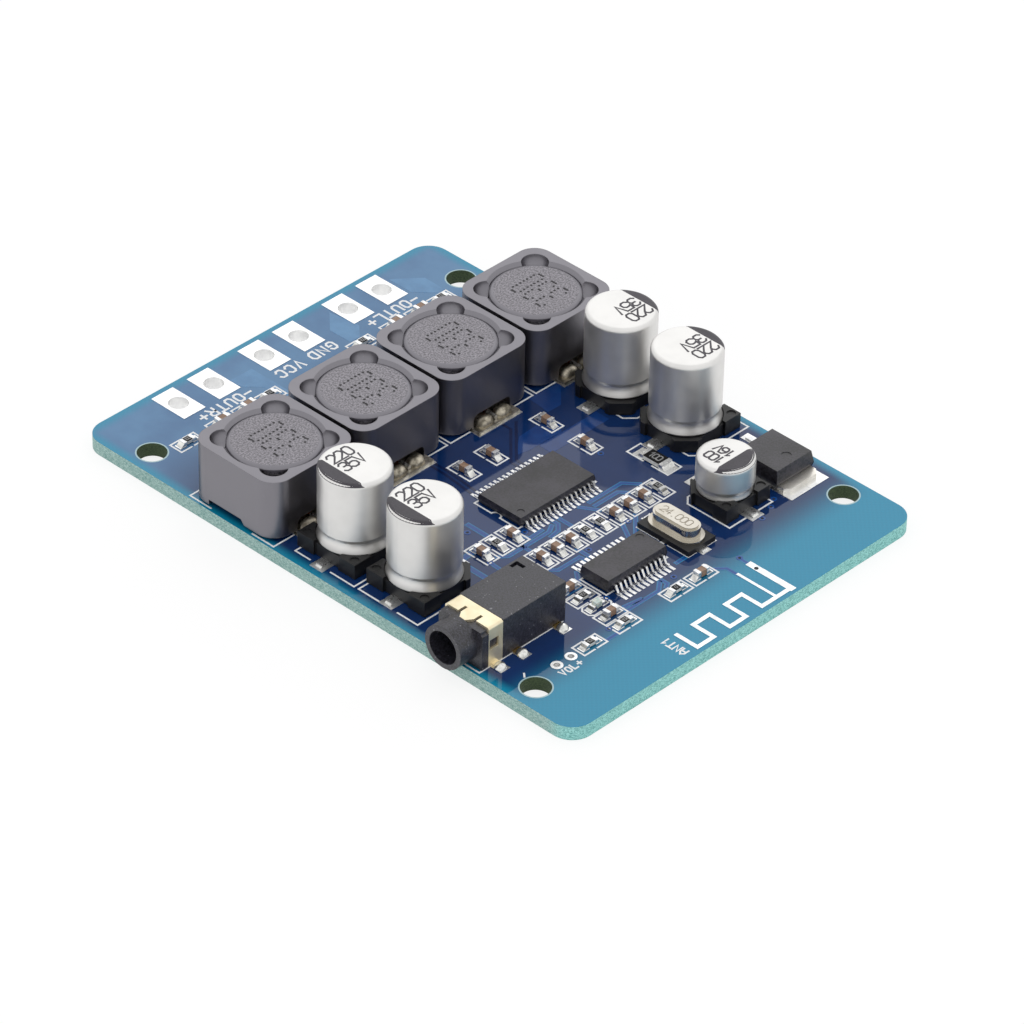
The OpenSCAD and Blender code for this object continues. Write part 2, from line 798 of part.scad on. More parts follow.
// Two humps on each terminal plate, one on each side of the wire end
module inductor_solder() {
    hump_y = wire_d / 2 + hump_r + hump_l / 2;
    for (turn = [0, 180], side = [-1, 1])
        rotate([0, 0, turn])
            translate([inductor_size / 2 + hump_out, side * hump_y, terminal_t])
                intersection() {
                    hump();
                    plate(4 * hump_r, 4 * hump_r + hump_l, 2 * hump_r);
                }
}

module hump() {
    translate([0, -hump_l / 2, 0])
        bar_y(hump_r, hump_l);
    for (side = [-1, 1])
        translate([0, side * hump_l / 2, 0])
            sphere(hump_r);
}

// A dome of solder over the end of each of the jack's feet
module jack_solder()
    for (foot = jack_feet)
        mirror([foot[0] < 0 ? 1 : 0, 0, 0])
            translate([foot_end_x - dome_inset, foot[1], 0])
                difference() {
                    intersection() {
                        translate([0, 0, -dome_sink])
                            sphere(dome_r);
                        plate(4 * dome_r, 4 * dome_r, dome_r);
                    }
                    translate([-2 * dome_r, -contact_foot_w / 2, -eps])
                        cube([2 * dome_r + dome_inset, contact_foot_w, foot[2] + eps]);
                }

// Shielded inductors

module at_inductor(n)
    at_seat(inductor_x, inductor_y(n))
        children();

module inductor_lands()
    for (side = [-1, 1])
        translate([side * (terminal_end + inductor_land_margin - inductor_land_l / 2), 0, 0])
            plate(inductor_land_l, terminal_w + 2 * inductor_land_margin, land_t);

// Square ferrite ring with a bevelled bore, four corner pockets, openings for the
// wire ends on the terminal sides and a notch between the feet of the other two sides
module inductor_shield(n)
    color("dimgray")
        at_inductor(n)
            translate([0, 0, terminal_t])
                difference() {
                    linear_extrude(shield_h)
                        difference() {
                            rounded_rectangle(inductor_size, inductor_size, inductor_corner_r);
                            circle(shield_bore_d / 2);
                        }
                    translate([0, 0, shield_h - bore_bevel])
                        cylinder(
                            h = bore_bevel + eps,
                            r1 = shield_bore_d / 2,
                            r2 = shield_bore_d / 2 + bore_bevel
                        );
                    for (angle = [45 : 90 : 315])
                        rotate([0, 0, angle])
                            shield_scoop();
                    for (turn = [0, 180])
                        rotate([0, 0, turn]) {
                            wire_arch();
                            foot_notch();
                        }
                }

// A round hollow at the rim of the bore
module shield_scoop()
    translate([shield_bore_d / 2 + scoop_offset, 0, shield_h + scoop_lift])
        sphere(scoop_r);

// Opening in the +X wall for the two wire ends
module wire_arch()
    translate([drum_foot_d / 2, 0, -eps])
        rotate([90, 0, 90])
            linear_extrude(inductor_size) {
                translate([-wire_arch_w / 2, 0])
                    square([wire_arch_w, wire_arch_h - wire_arch_r]);
                translate([-wire_arch_w / 2 + wire_arch_r, 0])
                    square([wire_arch_w - 2 * wire_arch_r, wire_arch_h]);
                for (side = [-1, 1])
                    translate([side * (wire_arch_w / 2 - wire_arch_r), wire_arch_h - wire_arch_r])
                        circle(wire_arch_r);
            }

// Notch between the feet of the -Y wall, with one slanted end
module foot_notch()
    translate([-inductor_size / 2 + foot_notch_start, 0, -eps])
        rotate([90, 0, 0])
            linear_extrude(inductor_size)
                polygon([
                    [0, 0],
                    [foot_notch_l + foot_notch_slope, 0],
                    [foot_notch_l, foot_notch_h],
                    [0, foot_notch_h]
                ]);

module inductor_drum(n)
    color("gray")
        at_inductor(n)
            translate([0, 0, terminal_t])
                rotate_extrude()
                    polygon([
                        [0, 0],
                        [drum_foot_d / 2, 0],
                        [drum_foot_d / 2, drum_flange_t],
                        [drum_core_d / 2, drum_flange_t],
                        [drum_core_d / 2, drum_h - drum_flange_t],
                        [drum_top_d / 2, drum_h - drum_flange_t],
                        [drum_top_d / 2, drum_h - drum_edge],
                        [drum_top_d / 2 - drum_edge, drum_h],
                        [0, drum_h]
                    ]);

// Coil with the turns of its outer layer, and two wire ends that run down past the
// drum's foot and out over the terminals
module inductor_winding(n)
    color("darkorange")
        at_inductor(n)
            translate([0, 0, terminal_t]) {
                rotate_extrude() {
                    translate([drum_core_d / 2, coil_bottom])
                        square([coil_outer_r - wire_d / 2 - drum_core_d / 2, coil_turns * wire_d]);
                    for (i = [0 : coil_turns - 1])
                        translate([coil_outer_r - wire_d / 2, coil_bottom + (i + 0.5) * wire_d])
                            circle(wire_d / 2);
                }
                for (side = [0, 180])
                    rotate([0, 0, side])
                        wire_end();
            }

module wire_end() {
    translate([tail_x, 0, wire_d / 2])
        cylinder(h = coil_bottom + wire_d, r = wire_d / 2);
    translate([tail_x, 0, wire_d / 2])
        sphere(wire_d / 2);
    translate([tail_x, 0, wire_d / 2])
        rotate([0, 90, 0])
            cylinder(h = inductor_size / 2 + terminal_reach / 2 - tail_x, r = wire_d / 2);
}

module inductor_terminals(n)
    color("silver")
        at_inductor(n)
            for (side = [0, 180])
                rotate([0, 0, side])
                    translate([inductor_size / 2 - terminal_inner, -terminal_w / 2, 0])
                        cube([terminal_inner + terminal_reach, terminal_w, terminal_t]);

// Electrolytic capacitors, whose negative lead is along +X before they are turned

module at_large_cap(n, z = seat_z)
    translate([cap_xs[(n - 1) % 2], n <= 2 ? cap_front_y : cap_back_y, z])
        translate(n == 2 ? cap_2_shift : [0, 0])
            rotate([0, 0, n <= 2 ? -90 : 90])
                children();

module cap_lands(base)
    for (side = [-1, 1])
        translate([side * (base / 2 + cap_lead_reach + cap_land_margin - cap_land_l / 2), 0, 0])
            plate(cap_land_l, cap_lead_w + 2 * cap_land_margin, land_t);

// Drawn can: a sloping foot, a crimped neck, a straight wall and a rounded top edge
module cap_can(diameter, height, neck_z, flare) {
    r = diameter / 2;
    foot_r = r + flare;
    foot_slope = flare + can_neck_depth;
    h = height - base_floor_t;
    color("lightgray")
        translate([0, 0, base_floor_t])
            rotate_extrude()
                polygon(concat(
                    [[0, 0], [foot_r - can_foot_bevel, 0], [foot_r, can_foot_bevel]],
                    [for (a = [0 : 18 : 90])
                        [foot_r - foot_slope * sin(a), can_foot_h + (neck_z - can_foot_h) * a / 90]],
                    [for (a = [30 : 30 : 90])
                        [r - can_neck_depth * cos(a), neck_z + neck_shoulder * a / 90]],
                    [for (a = [0 : 15 : 90])
                        [r - can_edge_r + can_edge_r * cos(a), h - can_edge_r + can_edge_r * sin(a)]],
                    [[0, h]]
                ));
}

// Moulded base: a floor under the can with a recess in each side, two cut corners and a
// low post on each of the other two
module cap_base_block(diameter, base, flare) {
    recess_w = diameter * base_recess_share;
    post_w = (base - recess_w) / 2;
    dimple_at = base / 2 - post_dimple_inset;
    color([0.08, 0.08, 0.09])
        difference() {
            union() {
                linear_extrude(base_floor_t)
                    base_outline(base, recess_w);
                for (side = [0, 1])
                    mirror([0, side, 0])
                        translate([base / 2 - post_w, base / 2 - post_w, 0])
                            cube([post_w, post_w, base_post_h]);
            }
            translate([0, 0, base_floor_t])
                cylinder(h = base_post_h, r = diameter / 2 + flare + base_can_gap);
            for (side = [-1, 1])
                translate([dimple_at, side * dimple_at, base_post_h])
                    dimple(post_dimple_r, post_dimple_depth);
            translate([0, 0, -eps])
                plate(2 * base, cap_lead_w + lead_slack, cap_lead_t + eps);
        }
}

module base_outline(base, recess_w)
    difference() {
        cut_corner_square(base);
        for (angle = [0 : 90 : 270])
            rotate(angle)
                translate([base / 2 - base_recess, -recess_w / 2])
                    square([base, recess_w]);
    }

module cut_corner_square(base)
    polygon([
        [base / 2, -base / 2],
        [base / 2, base / 2],
        [-base / 2 + base_corner_cut, base / 2],
        [-base / 2, base / 2 - base_corner_cut],
        [-base / 2, -base / 2 + base_corner_cut],
        [-base / 2 + base_corner_cut, -base / 2]
    ]);

module cap_leads(base)
    color("silver")
        for (side = [0, 180])
            rotate([0, 0, side])
                translate([lead_inner, -cap_lead_w / 2, 0])
                    cube([base / 2 + cap_lead_reach - lead_inner, cap_lead_w, cap_lead_t]);

module capacitor_can(n)
    at_large_cap(n)
        cap_can(cap_d, cap_h, cap_neck_z, cap_flare);

module capacitor_base(n)
    at_large_cap(n)
        cap_base_block(cap_d, cap_base, cap_flare);

module capacitor_leads(n)
    at_large_cap(n)
        cap_leads(cap_base);

module small_capacitor_can()
    at_seat(small_cap_x, small_cap_y)
        cap_can(small_cap_d, small_cap_h, small_cap_neck_z, small_cap_flare);

module small_capacitor_base()
    at_seat(small_cap_x, small_cap_y)
        cap_base_block(small_cap_d, small_cap_base, small_cap_flare);

module small_capacitor_leads()
    at_seat(small_cap_x, small_cap_y)
        cap_leads(small_cap_base);

// Chips

module amplifier_chip_body()
    color([0.2, 0.2, 0.22])
        at_seat(amp_x, amp_y)
            difference() {
                moulded_block(amp_l, amp_w, chip_standoff, amp_h, amp_h / 2, chip_draft);
                translate([amp_w / 2 - amp_dimple_inset, -amp_l / 2 + amp_dimple_inset, amp_h])
                    dimple(amp_dimple_r, dimple_depth);
            }

module amplifier_chip_leads()
    color("silver")
        at_seat(amp_x, amp_y)
            lead_rows(amp_side_leads, amp_pitch, amp_w, amp_span, amp_h / 2, amp_foot_l, amp_lead_w);

// Metal pad under the chip that carries its heat into the board
module amplifier_chip_heat_pad()
    color("silver")
        at_seat(amp_x, amp_y)
            plate(heat_pad_w, heat_pad_l, chip_standoff);

module receiver_chip_body()
    color([0.2, 0.2, 0.22])
        at_seat(receiver_x, receiver_y)
            difference() {
                moulded_block(
                    receiver_l, receiver_w, chip_standoff, receiver_h, receiver_h / 2, chip_draft
                );
                translate([
                    -receiver_w / 2 + receiver_dimple_inset,
                    receiver_l / 2 - receiver_dimple_inset,
                    receiver_h
                ])
                    dimple(receiver_dimple_r, dimple_depth);
            }

module receiver_chip_leads()
    color("silver")
        at_seat(receiver_x, receiver_y)
            lead_rows(
                receiver_side_leads, receiver_pitch, receiver_w, receiver_span,
                receiver_h / 2, receiver_foot_l, receiver_lead_w
            );

// Crystal in an oval can on a moulded carrier

module crystal_lands()
    for (side = [-1, 1])
        translate([side * (crystal_lead_end + crystal_land_margin - crystal_land_l / 2), 0, 0])
            plate(crystal_land_l, crystal_lead_w + 2 * crystal_land_margin, land_t);

module crystal_can()
    color("white")
        at_seat(crystal_x, crystal_y)
            translate([0, 0, crystal_carrier_t]) {
                linear_extrude(crystal_flange_t)
                    stadium(crystal_l + 2 * crystal_flange, crystal_w + 2 * crystal_flange);
                linear_extrude(crystal_h - crystal_carrier_t - crystal_edge)
                    stadium(crystal_l, crystal_w);
                linear_extrude(crystal_h - crystal_carrier_t)
                    stadium(crystal_l - 2 * crystal_edge, crystal_w - 2 * crystal_edge);
            }

module crystal_carrier()
    color([0.08, 0.08, 0.09])
        at_seat(crystal_x, crystal_y)
            difference() {
                plate(crystal_carrier_l, crystal_carrier_w, crystal_carrier_t);
                translate([0, 0, -eps])
                    plate(2 * crystal_carrier_l, crystal_lead_w + lead_slack, crystal_lead_t + eps);
            }

module crystal_leads()
    color("silver")
        at_seat(crystal_x, crystal_y)
            for (side = [0, 180])
                rotate([0, 0, side])
                    translate([crystal_l / 4, -crystal_lead_w / 2, 0])
                        cube([crystal_lead_end - crystal_l / 4, crystal_lead_w, crystal_lead_t]);

// Voltage regulator with its tab towards +X

module regulator_lands() {
    lead_end = regulator_l / 2 + regulator_lead_reach;
    lead_land_x = -lead_end - lead_land_margin + regulator_lead_land_l / 2;
    translate([tab_outer + regulator_land_margin - regulator_land_l / 2, 0, 0])
        plate(regulator_land_l, regulator_w, land_t);
    for (side = [-1, 1])
        translate([lead_land_x, side * regulator_lead_pitch / 2, 0])
            plate(regulator_lead_land_l, regulator_lead_w + 2 * regulator_lead_land_side, land_t);
}

module regulator_body()
    color([0.2, 0.2, 0.22])
        at_seat(regulator_x, regulator_y)
            difference() {
                moulded_block(
                    regulator_w, regulator_l, regulator_standoff, regulator_h,
                    regulator_lead_z, regulator_draft
                );
                regulator_tab_plate(tab_slack);
                translate([regulator_dimple[0], regulator_dimple[1], regulator_h])
                    dimple(regulator_dimple_r, dimple_depth);
            }

module regulator_tab()
    color("silver")
        at_seat(regulator_x, regulator_y)
            regulator_tab_plate(0);

// Tab plate with cut corners, grown by a clearance for its pocket in the body
module regulator_tab_plate(clearance) {
    half_w = regulator_w / 2 - tab_side_inset + clearance;
    translate([0, 0, -clearance])
        linear_extrude(regulator_tab_t + 2 * clearance)
            polygon([
                [tab_inner - clearance, -half_w],
                [tab_outer - regulator_tab_cut, -half_w],
                [tab_outer, -half_w + regulator_tab_cut],
                [tab_outer, half_w - regulator_tab_cut],
                [tab_outer - regulator_tab_cut, half_w],
                [tab_inner - clearance, half_w]
            ]);
}

module regulator_leads()
    color("silver")
        at_seat(regulator_x, regulator_y)
            for (side = [-1, 1])
                translate([-regulator_l / 2, side * regulator_lead_pitch / 2, 0])
                    rotate([0, 0, 180])
                        gull_wing(
                            regulator_lead_reach, regulator_lead_z,
                            regulator_foot_l, regulator_lead_w
                        );

// Audio jack: its front face is at y = 0, its barrel points to -Y and its body to +Y

module at_jack()
    at_seat(jack_x, jack_front_y)
        children();

module jack_lands()
    for (foot = jack_feet)
        translate([foot[0] * (foot_end_x + jack_land_margin - jack_land_l / 2), foot[1], 0])
            plate(jack_land_l, contact_foot_w + jack_land_margin, land_t);

module jack_housing()
    color([0.13, 0.13, 0.14])
        at_jack()
            difference() {
                union() {
                    jack_block();
                    jack_front();
                    translate([0, -jack_barrel_l, jack_axis_z])
                        bar_y(jack_barrel_d / 2, jack_barrel_l + eps);
                }
                translate([0, -jack_barrel_l - eps, jack_axis_z])
                    bar_y(jack_bore_d / 2, jack_bore_front_l + 2 * eps);
                translate([-jack_chamber_w / 2, bore_depth, jack_axis_z - jack_chamber_w / 2])
                    cube([jack_chamber_w, jack_chamber_end - bore_depth, jack_chamber_w]);
                contact_pocket(1, tip_foot_y);
                contact_pocket(1, ring_foot_y);
                contact_pocket(-1, tip_foot_y);
                jack_top_slot();
            }

// Main block behind the sleeve clip
module jack_block()
    translate([-jack_w / 2, jack_body_y, 0])
        cube([jack_w, jack_l - jack_body_y, jack_h]);

// Narrow neck that the sleeve clip wraps, and the flange in front of it
module jack_front() {
    neck_w = jack_w - 2 * jack_clip_t;
    translate([-neck_w / 2, 0, 0])
        cube([neck_w, jack_body_y + eps, jack_h - jack_clip_t]);
    rotate([90, 0, 0])
        translate([0, 0, -jack_flange_l])
            linear_extrude(jack_flange_l)
                polygon([
                    [-jack_w / 2, 0],
                    [jack_w / 2, 0],
                    [jack_w / 2, jack_h - jack_flange_bevel],
                    [jack_w / 2 - jack_flange_bevel, jack_h - jack_clip_t],
                    [-jack_w / 2 + jack_flange_bevel, jack_h - jack_clip_t],
                    [-jack_w / 2, jack_h - jack_flange_bevel]
                ]);
}

// Two joined slots in the top, near the rear corner
module jack_top_slot()
    translate([-jack_w / 2 + slot_inset, jack_l - slot_rear, jack_h - slot_depth]) {
        translate([0, -slot_w, 0])
            cube([slot_l, slot_w, slot_depth + eps]);
        translate([0, -slot_leg_l, 0])
            cube([slot_w, slot_leg_l, slot_depth + eps]);
    }

// Room for a contact leaf beside the chamber, its post and its foot
module contact_pocket(side, foot_y)
    mirror([side < 0 ? 1 : 0, 0, 0]) {
        leaf_l = contact_leaf_l(foot_y);
        leaf_y = foot_y + contact_foot_w / 2 - leaf_l;
        translate([0, leaf_y - contact_gap, jack_axis_z - contact_h / 2 - contact_gap])
            cube([
                contact_x + contact_t + contact_gap,
                leaf_l + 2 * contact_gap,
                contact_h + 2 * contact_gap
            ]);
        translate([contact_x - contact_gap, foot_y - contact_foot_w / 2 - contact_gap, -eps])
            cube([contact_t + 2 * contact_gap, contact_foot_w + 2 * contact_gap, jack_axis_z]);
        translate([contact_x - contact_gap, foot_y - contact_foot_w / 2 - contact_gap, -eps])
            cube([jack_w, contact_foot_w + 2 * contact_gap, contact_t + contact_gap + eps]);
    }

function contact_leaf_l(foot_y) = foot_y > jack_l / 2 ? long_leaf_l : short_leaf_l;

// Spring contact: a bent leaf that touches the plug, a post and a soldered foot
module jack_contact(side, foot_y)
    color("goldenrod")
        at_jack()
            mirror([side < 0 ? 1 : 0, 0, 0])
                translate([0, foot_y - contact_foot_w / 2, 0]) {
                    leaf_l = contact_leaf_l(foot_y) - contact_foot_w;
                    translate([0, 0, jack_axis_z - contact_h / 2])
                        linear_extrude(contact_h)
                            polygon([
                                [contact_x, contact_foot_w],
                                [contact_x, 0],
                                [contact_touch_x, -leaf_l * contact_touch_at],
                                [contact_x - contact_toe_in, -leaf_l],
                                [contact_x - contact_toe_in + contact_t, -leaf_l],
                                [contact_touch_x + contact_t, -leaf_l * contact_touch_at],
                                [contact_x + contact_t, 0],
                                [contact_x + contact_t, contact_foot_w]
                            ]);
                    translate([contact_x, 0, 0])
                        cube([contact_t, contact_foot_w, jack_axis_z - contact_h / 2 + eps]);
                    translate([contact_x, 0, 0])
                        cube([foot_end_x - contact_x, contact_foot_w, contact_t]);
                }

module jack_tip_contact()
    jack_contact(1, tip_foot_y);

module jack_ring_contact()
    jack_contact(1, ring_foot_y);

module jack_switch_contact()
    jack_contact(-1, tip_foot_y);

// Bent strip over the neck, with a tongue between two slits, a side window and a soldered foot
module jack_sleeve_clip()
    color("khaki")
        at_jack() {
            difference() {
                translate([0, jack_clip_y + jack_clip_l, 0])
                    rotate([90, 0, 0])
                        linear_extrude(jack_clip_l)
                            clip_section();
                translate([0, clip_window_y - clip_window[0] / 2, jack_axis_z - clip_window_drop])
                    cube([jack_w, clip_window[0], clip_window[1]]);
                for (side = [-1, 1])
                    translate([side * clip_slit_x, jack_clip_y, jack_h - 2 * jack_clip_t])
                        plate(clip_slit_w, 2 * clip_slit_l, 3 * jack_clip_t);
            }
            clip_top_tongue();
            translate([jack_w / 2 - jack_clip_t, clip_foot_y - contact_foot_w / 2, 0])
                cube([jack_clip_t + contact_reach, contact_foot_w, jack_clip_t]);
        }

// Cross-section of the clip: two legs and a top with bent corners
module clip_section() {
    outer = jack_w / 2;
    inner = outer - jack_clip_t;
    difference() {
        union() {
            translate([-outer, 0])
                square([2 * outer, jack_h - jack_lip]);
            translate([-outer + jack_lip, 0])
                square([2 * (outer - jack_lip), jack_h]);
            for (side = [-1, 1])
                translate([side * (outer - jack_lip), jack_h - jack_lip])
                    circle(jack_lip);
        }
        translate([-inner, -eps])
            square([2 * inner, jack_h - jack_clip_t + eps]);
    }
}

module clip_top_tongue()
    translate([0, 0, jack_h - jack_clip_t])
        linear_extrude(jack_clip_t)
            polygon([
                [-clip_tongue_root, jack_clip_y + eps],
                [-clip_tongue_tip, jack_clip_y - clip_tongue],
                [clip_tongue_tip, jack_clip_y - clip_tongue],
                [clip_tongue_root, jack_clip_y + eps]
            ]);

// Ceramic capacitors, resistors and the indicator

// Two metal ends that wrap a block of the given size, with the block's room cut out
module chip_ends(length, width, height, end_l)
    for (side = [-1, 1])
        translate([side * (length - end_l) / 2, 0, 0])
            difference() {
                plate(end_l, width, height);
                translate([-side * chip_end_t, 0, chip_end_t])
                    plate(end_l + eps, width - 2 * chip_end_t, height - 2 * chip_end_t);
            }

module chip_core(length, width, height)
    translate([0, 0, chip_end_t])
        plate(length - 2 * chip_end_t, width - 2 * chip_end_t, height - 2 * chip_end_t);

module ceramic_capacitor_bodies()
    color("rosybrown")
        at_chip_parts("C")
            chip_core(chip_l, chip_w, ceramic_h);

module ceramic_capacitor_ends()
    color("silver")
        at_chip_parts("C")
            chip_ends(chip_l, chip_w, ceramic_h, chip_end_l);

module resistor_bodies()
    color("whitesmoke") {
        at_chip_parts("R")
            chip_core(chip_l, chip_w, resistor_h);
        at_seat(big_resistor_x, big_resistor_y)
            chip_core(big_resistor_l, big_resistor_w, big_resistor_h);
    }

// Dark glaze over the resistive film, between the metal ends
module resistor_coats()
    color([0.1, 0.1, 0.11]) {
        at_chip_parts("R")
            resistor_coat(chip_l - 2 * chip_end_l, chip_w, resistor_h);
        at_seat(big_resistor_x, big_resistor_y)
            resistor_coat(big_resistor_l - 2 * big_resistor_end_l, big_resistor_w, big_resistor_h);
    }

module resistor_coat(length, width, height)
    translate([0, 0, height - chip_end_t])
        plate(length, width - 2 * chip_end_t, resistor_coat_t);

module resistor_ends()
    color("silver") {
        at_chip_parts("R")
            chip_ends(chip_l, chip_w, resistor_h, chip_end_l);
        at_seat(big_resistor_x, big_resistor_y)
            chip_ends(big_resistor_l, big_resistor_w, big_resistor_h, big_resistor_end_l);
    }

// Clear lens on its carrier
module indicator_led_body()
    color("honeydew")
        at_chip_parts("LED") {
            chip_core(chip_l, chip_w, resistor_h);
            translate([0, 0, resistor_h - chip_end_t])
                plate(chip_l - 2 * chip_end_l, chip_w - 2 * chip_end_t, led_lens_t);
        }

module indicator_led_ends()
    color("silver")
        at_chip_parts("LED")
            chip_ends(chip_l, chip_w, resistor_h, chip_end_l);

circuit_board();
terminal_pads();
volume_pads();
component_lands();
antenna_trace();
solder_joints();
for (n = INDUCTORS) {
    inductor_shield(n);
    inductor_drum(n);
    inductor_winding(n);
    inductor_terminals(n);
}
for (n = LARGE_CAPS) {
    capacitor_can(n);
    capacitor_base(n);
    capacitor_leads(n);
}
small_capacitor_can();
small_capacitor_base();
small_capacitor_leads();
amplifier_chip_body();
amplifier_chip_leads();
amplifier_chip_heat_pad();
receiver_chip_body();
receiver_chip_leads();
crystal_can();
crystal_carrier();
crystal_leads();
regulator_body();
regulator_tab();
regulator_leads();
jack_housing();
jack_sleeve_clip();
jack_tip_contact();
jack_ring_contact();
jack_switch_contact();
ceramic_capacitor_bodies();
ceramic_capacitor_ends();
resistor_bodies();
resistor_coats();
resistor_ends();
indicator_led_body();
indicator_led_ends();
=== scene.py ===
"""Looks of the stereo amplifier board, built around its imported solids."""

import math
import random

import bmesh
import bpy
from mathutils import Matrix, Vector


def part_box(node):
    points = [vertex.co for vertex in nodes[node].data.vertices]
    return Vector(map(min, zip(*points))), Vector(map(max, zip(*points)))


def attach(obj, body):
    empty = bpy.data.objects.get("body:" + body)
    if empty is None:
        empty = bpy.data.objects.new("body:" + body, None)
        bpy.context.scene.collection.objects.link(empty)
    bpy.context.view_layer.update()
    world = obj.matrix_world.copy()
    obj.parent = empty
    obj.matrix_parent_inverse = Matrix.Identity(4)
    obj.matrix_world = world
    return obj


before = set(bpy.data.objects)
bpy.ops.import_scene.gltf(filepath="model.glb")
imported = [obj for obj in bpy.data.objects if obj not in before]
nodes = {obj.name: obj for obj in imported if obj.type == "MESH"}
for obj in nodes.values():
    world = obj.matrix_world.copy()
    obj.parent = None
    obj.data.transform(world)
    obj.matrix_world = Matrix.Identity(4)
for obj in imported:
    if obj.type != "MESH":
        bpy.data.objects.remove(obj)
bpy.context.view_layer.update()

MM = 0.001
BOARD_TOP = 1.6
MARK_T = 0.012
SIDES = (-1, 1)

# Camera: place in millimetres, the picture's right and down directions, and the view direction
CAMERA_AT = (343.546, -361.490, 365.463)
CAMERA_RIGHT = (0.71779104, 0.69602426, 0.0180624)
CAMERA_DOWN = (0.42436638, -0.41677646, -0.80387223)
CAMERA_FORWARD = (-0.55198659, 0.58467736, -0.59452771)
CAMERA_LENS = 211.786
CAMERA_SENSOR = 36.0
CAMERA_CLIP = (0.01, 20)


def srgb(red, green, blue):
    """A display colour, 0 to 255, as the linear colour that a shader takes."""
    linear = []
    for value in (red, green, blue):
        v = value / 255
        linear.append(v / 12.92 if v <= 0.04045 else ((v + 0.055) / 1.055) ** 2.4)
    return (*linear, 1.0)


BEVEL_SAMPLES = 4


class Look:
    """A node material whose patterns are measured in millimetres of the shared frame."""

    def __init__(self, name):
        self.material = bpy.data.materials.new(name)
        self.material.use_nodes = True
        self.tree = self.material.node_tree
        self.tree.nodes.clear()
        output = self.add("ShaderNodeOutputMaterial")
        self.bsdf = self.add("ShaderNodeBsdfPrincipled")
        self.join(self.bsdf.outputs["BSDF"], output.inputs["Surface"])
        place = self.add("ShaderNodeTexCoord").outputs["Object"]
        scaled = self.add("ShaderNodeVectorMath", operation="SCALE")
        self.join(place, scaled.inputs[0])
        scaled.inputs["Scale"].default_value = 1 / MM
        self.place = scaled.outputs["Vector"]
        self.geometry = self.add("ShaderNodeNewGeometry")

    def add(self, kind, **settings):
        node = self.tree.nodes.new(kind)
        for key, value in settings.items():
            setattr(node, key, value)
        return node

    def join(self, value, socket):
        """Links a socket, or sets a plain value on it."""
        if isinstance(value, bpy.types.NodeSocket):
            self.tree.links.new(value, socket)
        else:
            socket.default_value = value

    def split(self, vector):
        node = self.add("ShaderNodeSeparateXYZ")
        self.join(vector, node.inputs[0])
        return node.outputs

    def math(self, operation, a, b=0.0):
        node = self.add("ShaderNodeMath", operation=operation)
        self.join(a, node.inputs[0])
        self.join(b, node.inputs[1])
        return node.outputs[0]

    def ramp(self, value, low, high, to_low=0.0, to_high=1.0):
        """Runs smoothly from to_low at low to to_high at high."""
        node = self.add("ShaderNodeMapRange", interpolation_type="SMOOTHSTEP")
        self.join(value, node.inputs["Value"])
        node.inputs["From Min"].default_value = low
        node.inputs["From Max"].default_value = high
        node.inputs["To Min"].default_value = to_low
        node.inputs["To Max"].default_value = to_high
        return node.outputs["Result"]

    def mix(self, share, a, b):
        node = self.add("ShaderNodeMix", data_type="RGBA")
        self.join(share, node.inputs[0])
        self.join(a, node.inputs[6])
        self.join(b, node.inputs[7])
        return node.outputs[2]

    def noise(self, per_mm, detail=2.0, stretch=(1, 1, 1), roughness=0.55):
        """Noise with about per_mm waves in a millimetre, longer where stretch is below 1."""
        scale = self.add("ShaderNodeVectorMath", operation="MULTIPLY")
        self.join(self.place, scale.inputs[0])
        scale.inputs[1].default_value = stretch
        node = self.add("ShaderNodeTexNoise")
        self.join(scale.outputs["Vector"], node.inputs["Vector"])
        node.inputs["Scale"].default_value = per_mm
        node.inputs["Detail"].default_value = detail
        node.inputs["Roughness"].default_value = roughness
        return node.outputs["Fac"]

    def bump(self, height, depth, round_edges=0.0):
        """Relief of that depth in millimetres, on edges that look rounded by round_edges."""
        node = self.add("ShaderNodeBump")
        node.inputs["Strength"].default_value = 1.0
        node.inputs["Distance"].default_value = depth * MM
        self.join(height, node.inputs["Height"])
        if round_edges:
            edge = self.add("ShaderNodeBevel", samples=BEVEL_SAMPLES)
            edge.inputs["Radius"].default_value = round_edges * MM
            self.join(edge.outputs["Normal"], node.inputs["Normal"])
        self.join(node.outputs["Normal"], self.bsdf.inputs["Normal"])

    def finish(self, **values):
        """Sets the shader's inputs and gives back the material."""
        names = {
            "base": "Base Color",
            "rough": "Roughness",
            "metal": "Metallic",
            "ior": "IOR",
            "sub": "Subsurface Weight",
            "tint": "Specular Tint",
        }
        for key, value in values.items():
            self.join(value, self.bsdf.inputs[names[key]])
        return self.material


# Levels of a noise between which a look turns from its low to its high end
SPAN = (0.3, 0.7)
BLEND_SPAN = (0.35, 0.65)
# Speckled surfaces: share of the fine grain, grains in one broad patch, and spread of roughness
FINE_SHARE = 0.65
BROAD_GRAINS = 14
ROUGH_SPREAD = 0.06
# Metals: relief waves in one patch, rounding of edges, and how far patches differ in roughness
METAL_RELIEF = 4
METAL_EDGE = 0.03
METAL_DULLER = 0.1
METAL_BRIGHTER = 0.05


def speckled(name, dark, light, per_mm, rough, depth, round_edges=0.0, **values):
    """A surface that varies between two colours, with matching fine relief."""
    look = Look(name)
    grain = look.noise(per_mm, 3.0)
    broad = look.noise(per_mm / BROAD_GRAINS, 2.0)
    fine_part = look.math("MULTIPLY", grain, FINE_SHARE)
    share = look.math("ADD", fine_part, look.math("MULTIPLY", broad, 1 - FINE_SHARE))
    base = look.mix(look.ramp(share, *BLEND_SPAN), dark, light)
    look.bump(grain, depth, round_edges)
    spread = look.ramp(grain, *SPAN, rough - ROUGH_SPREAD, rough + ROUGH_SPREAD)
    return look.finish(base=base, rough=spread, **values)


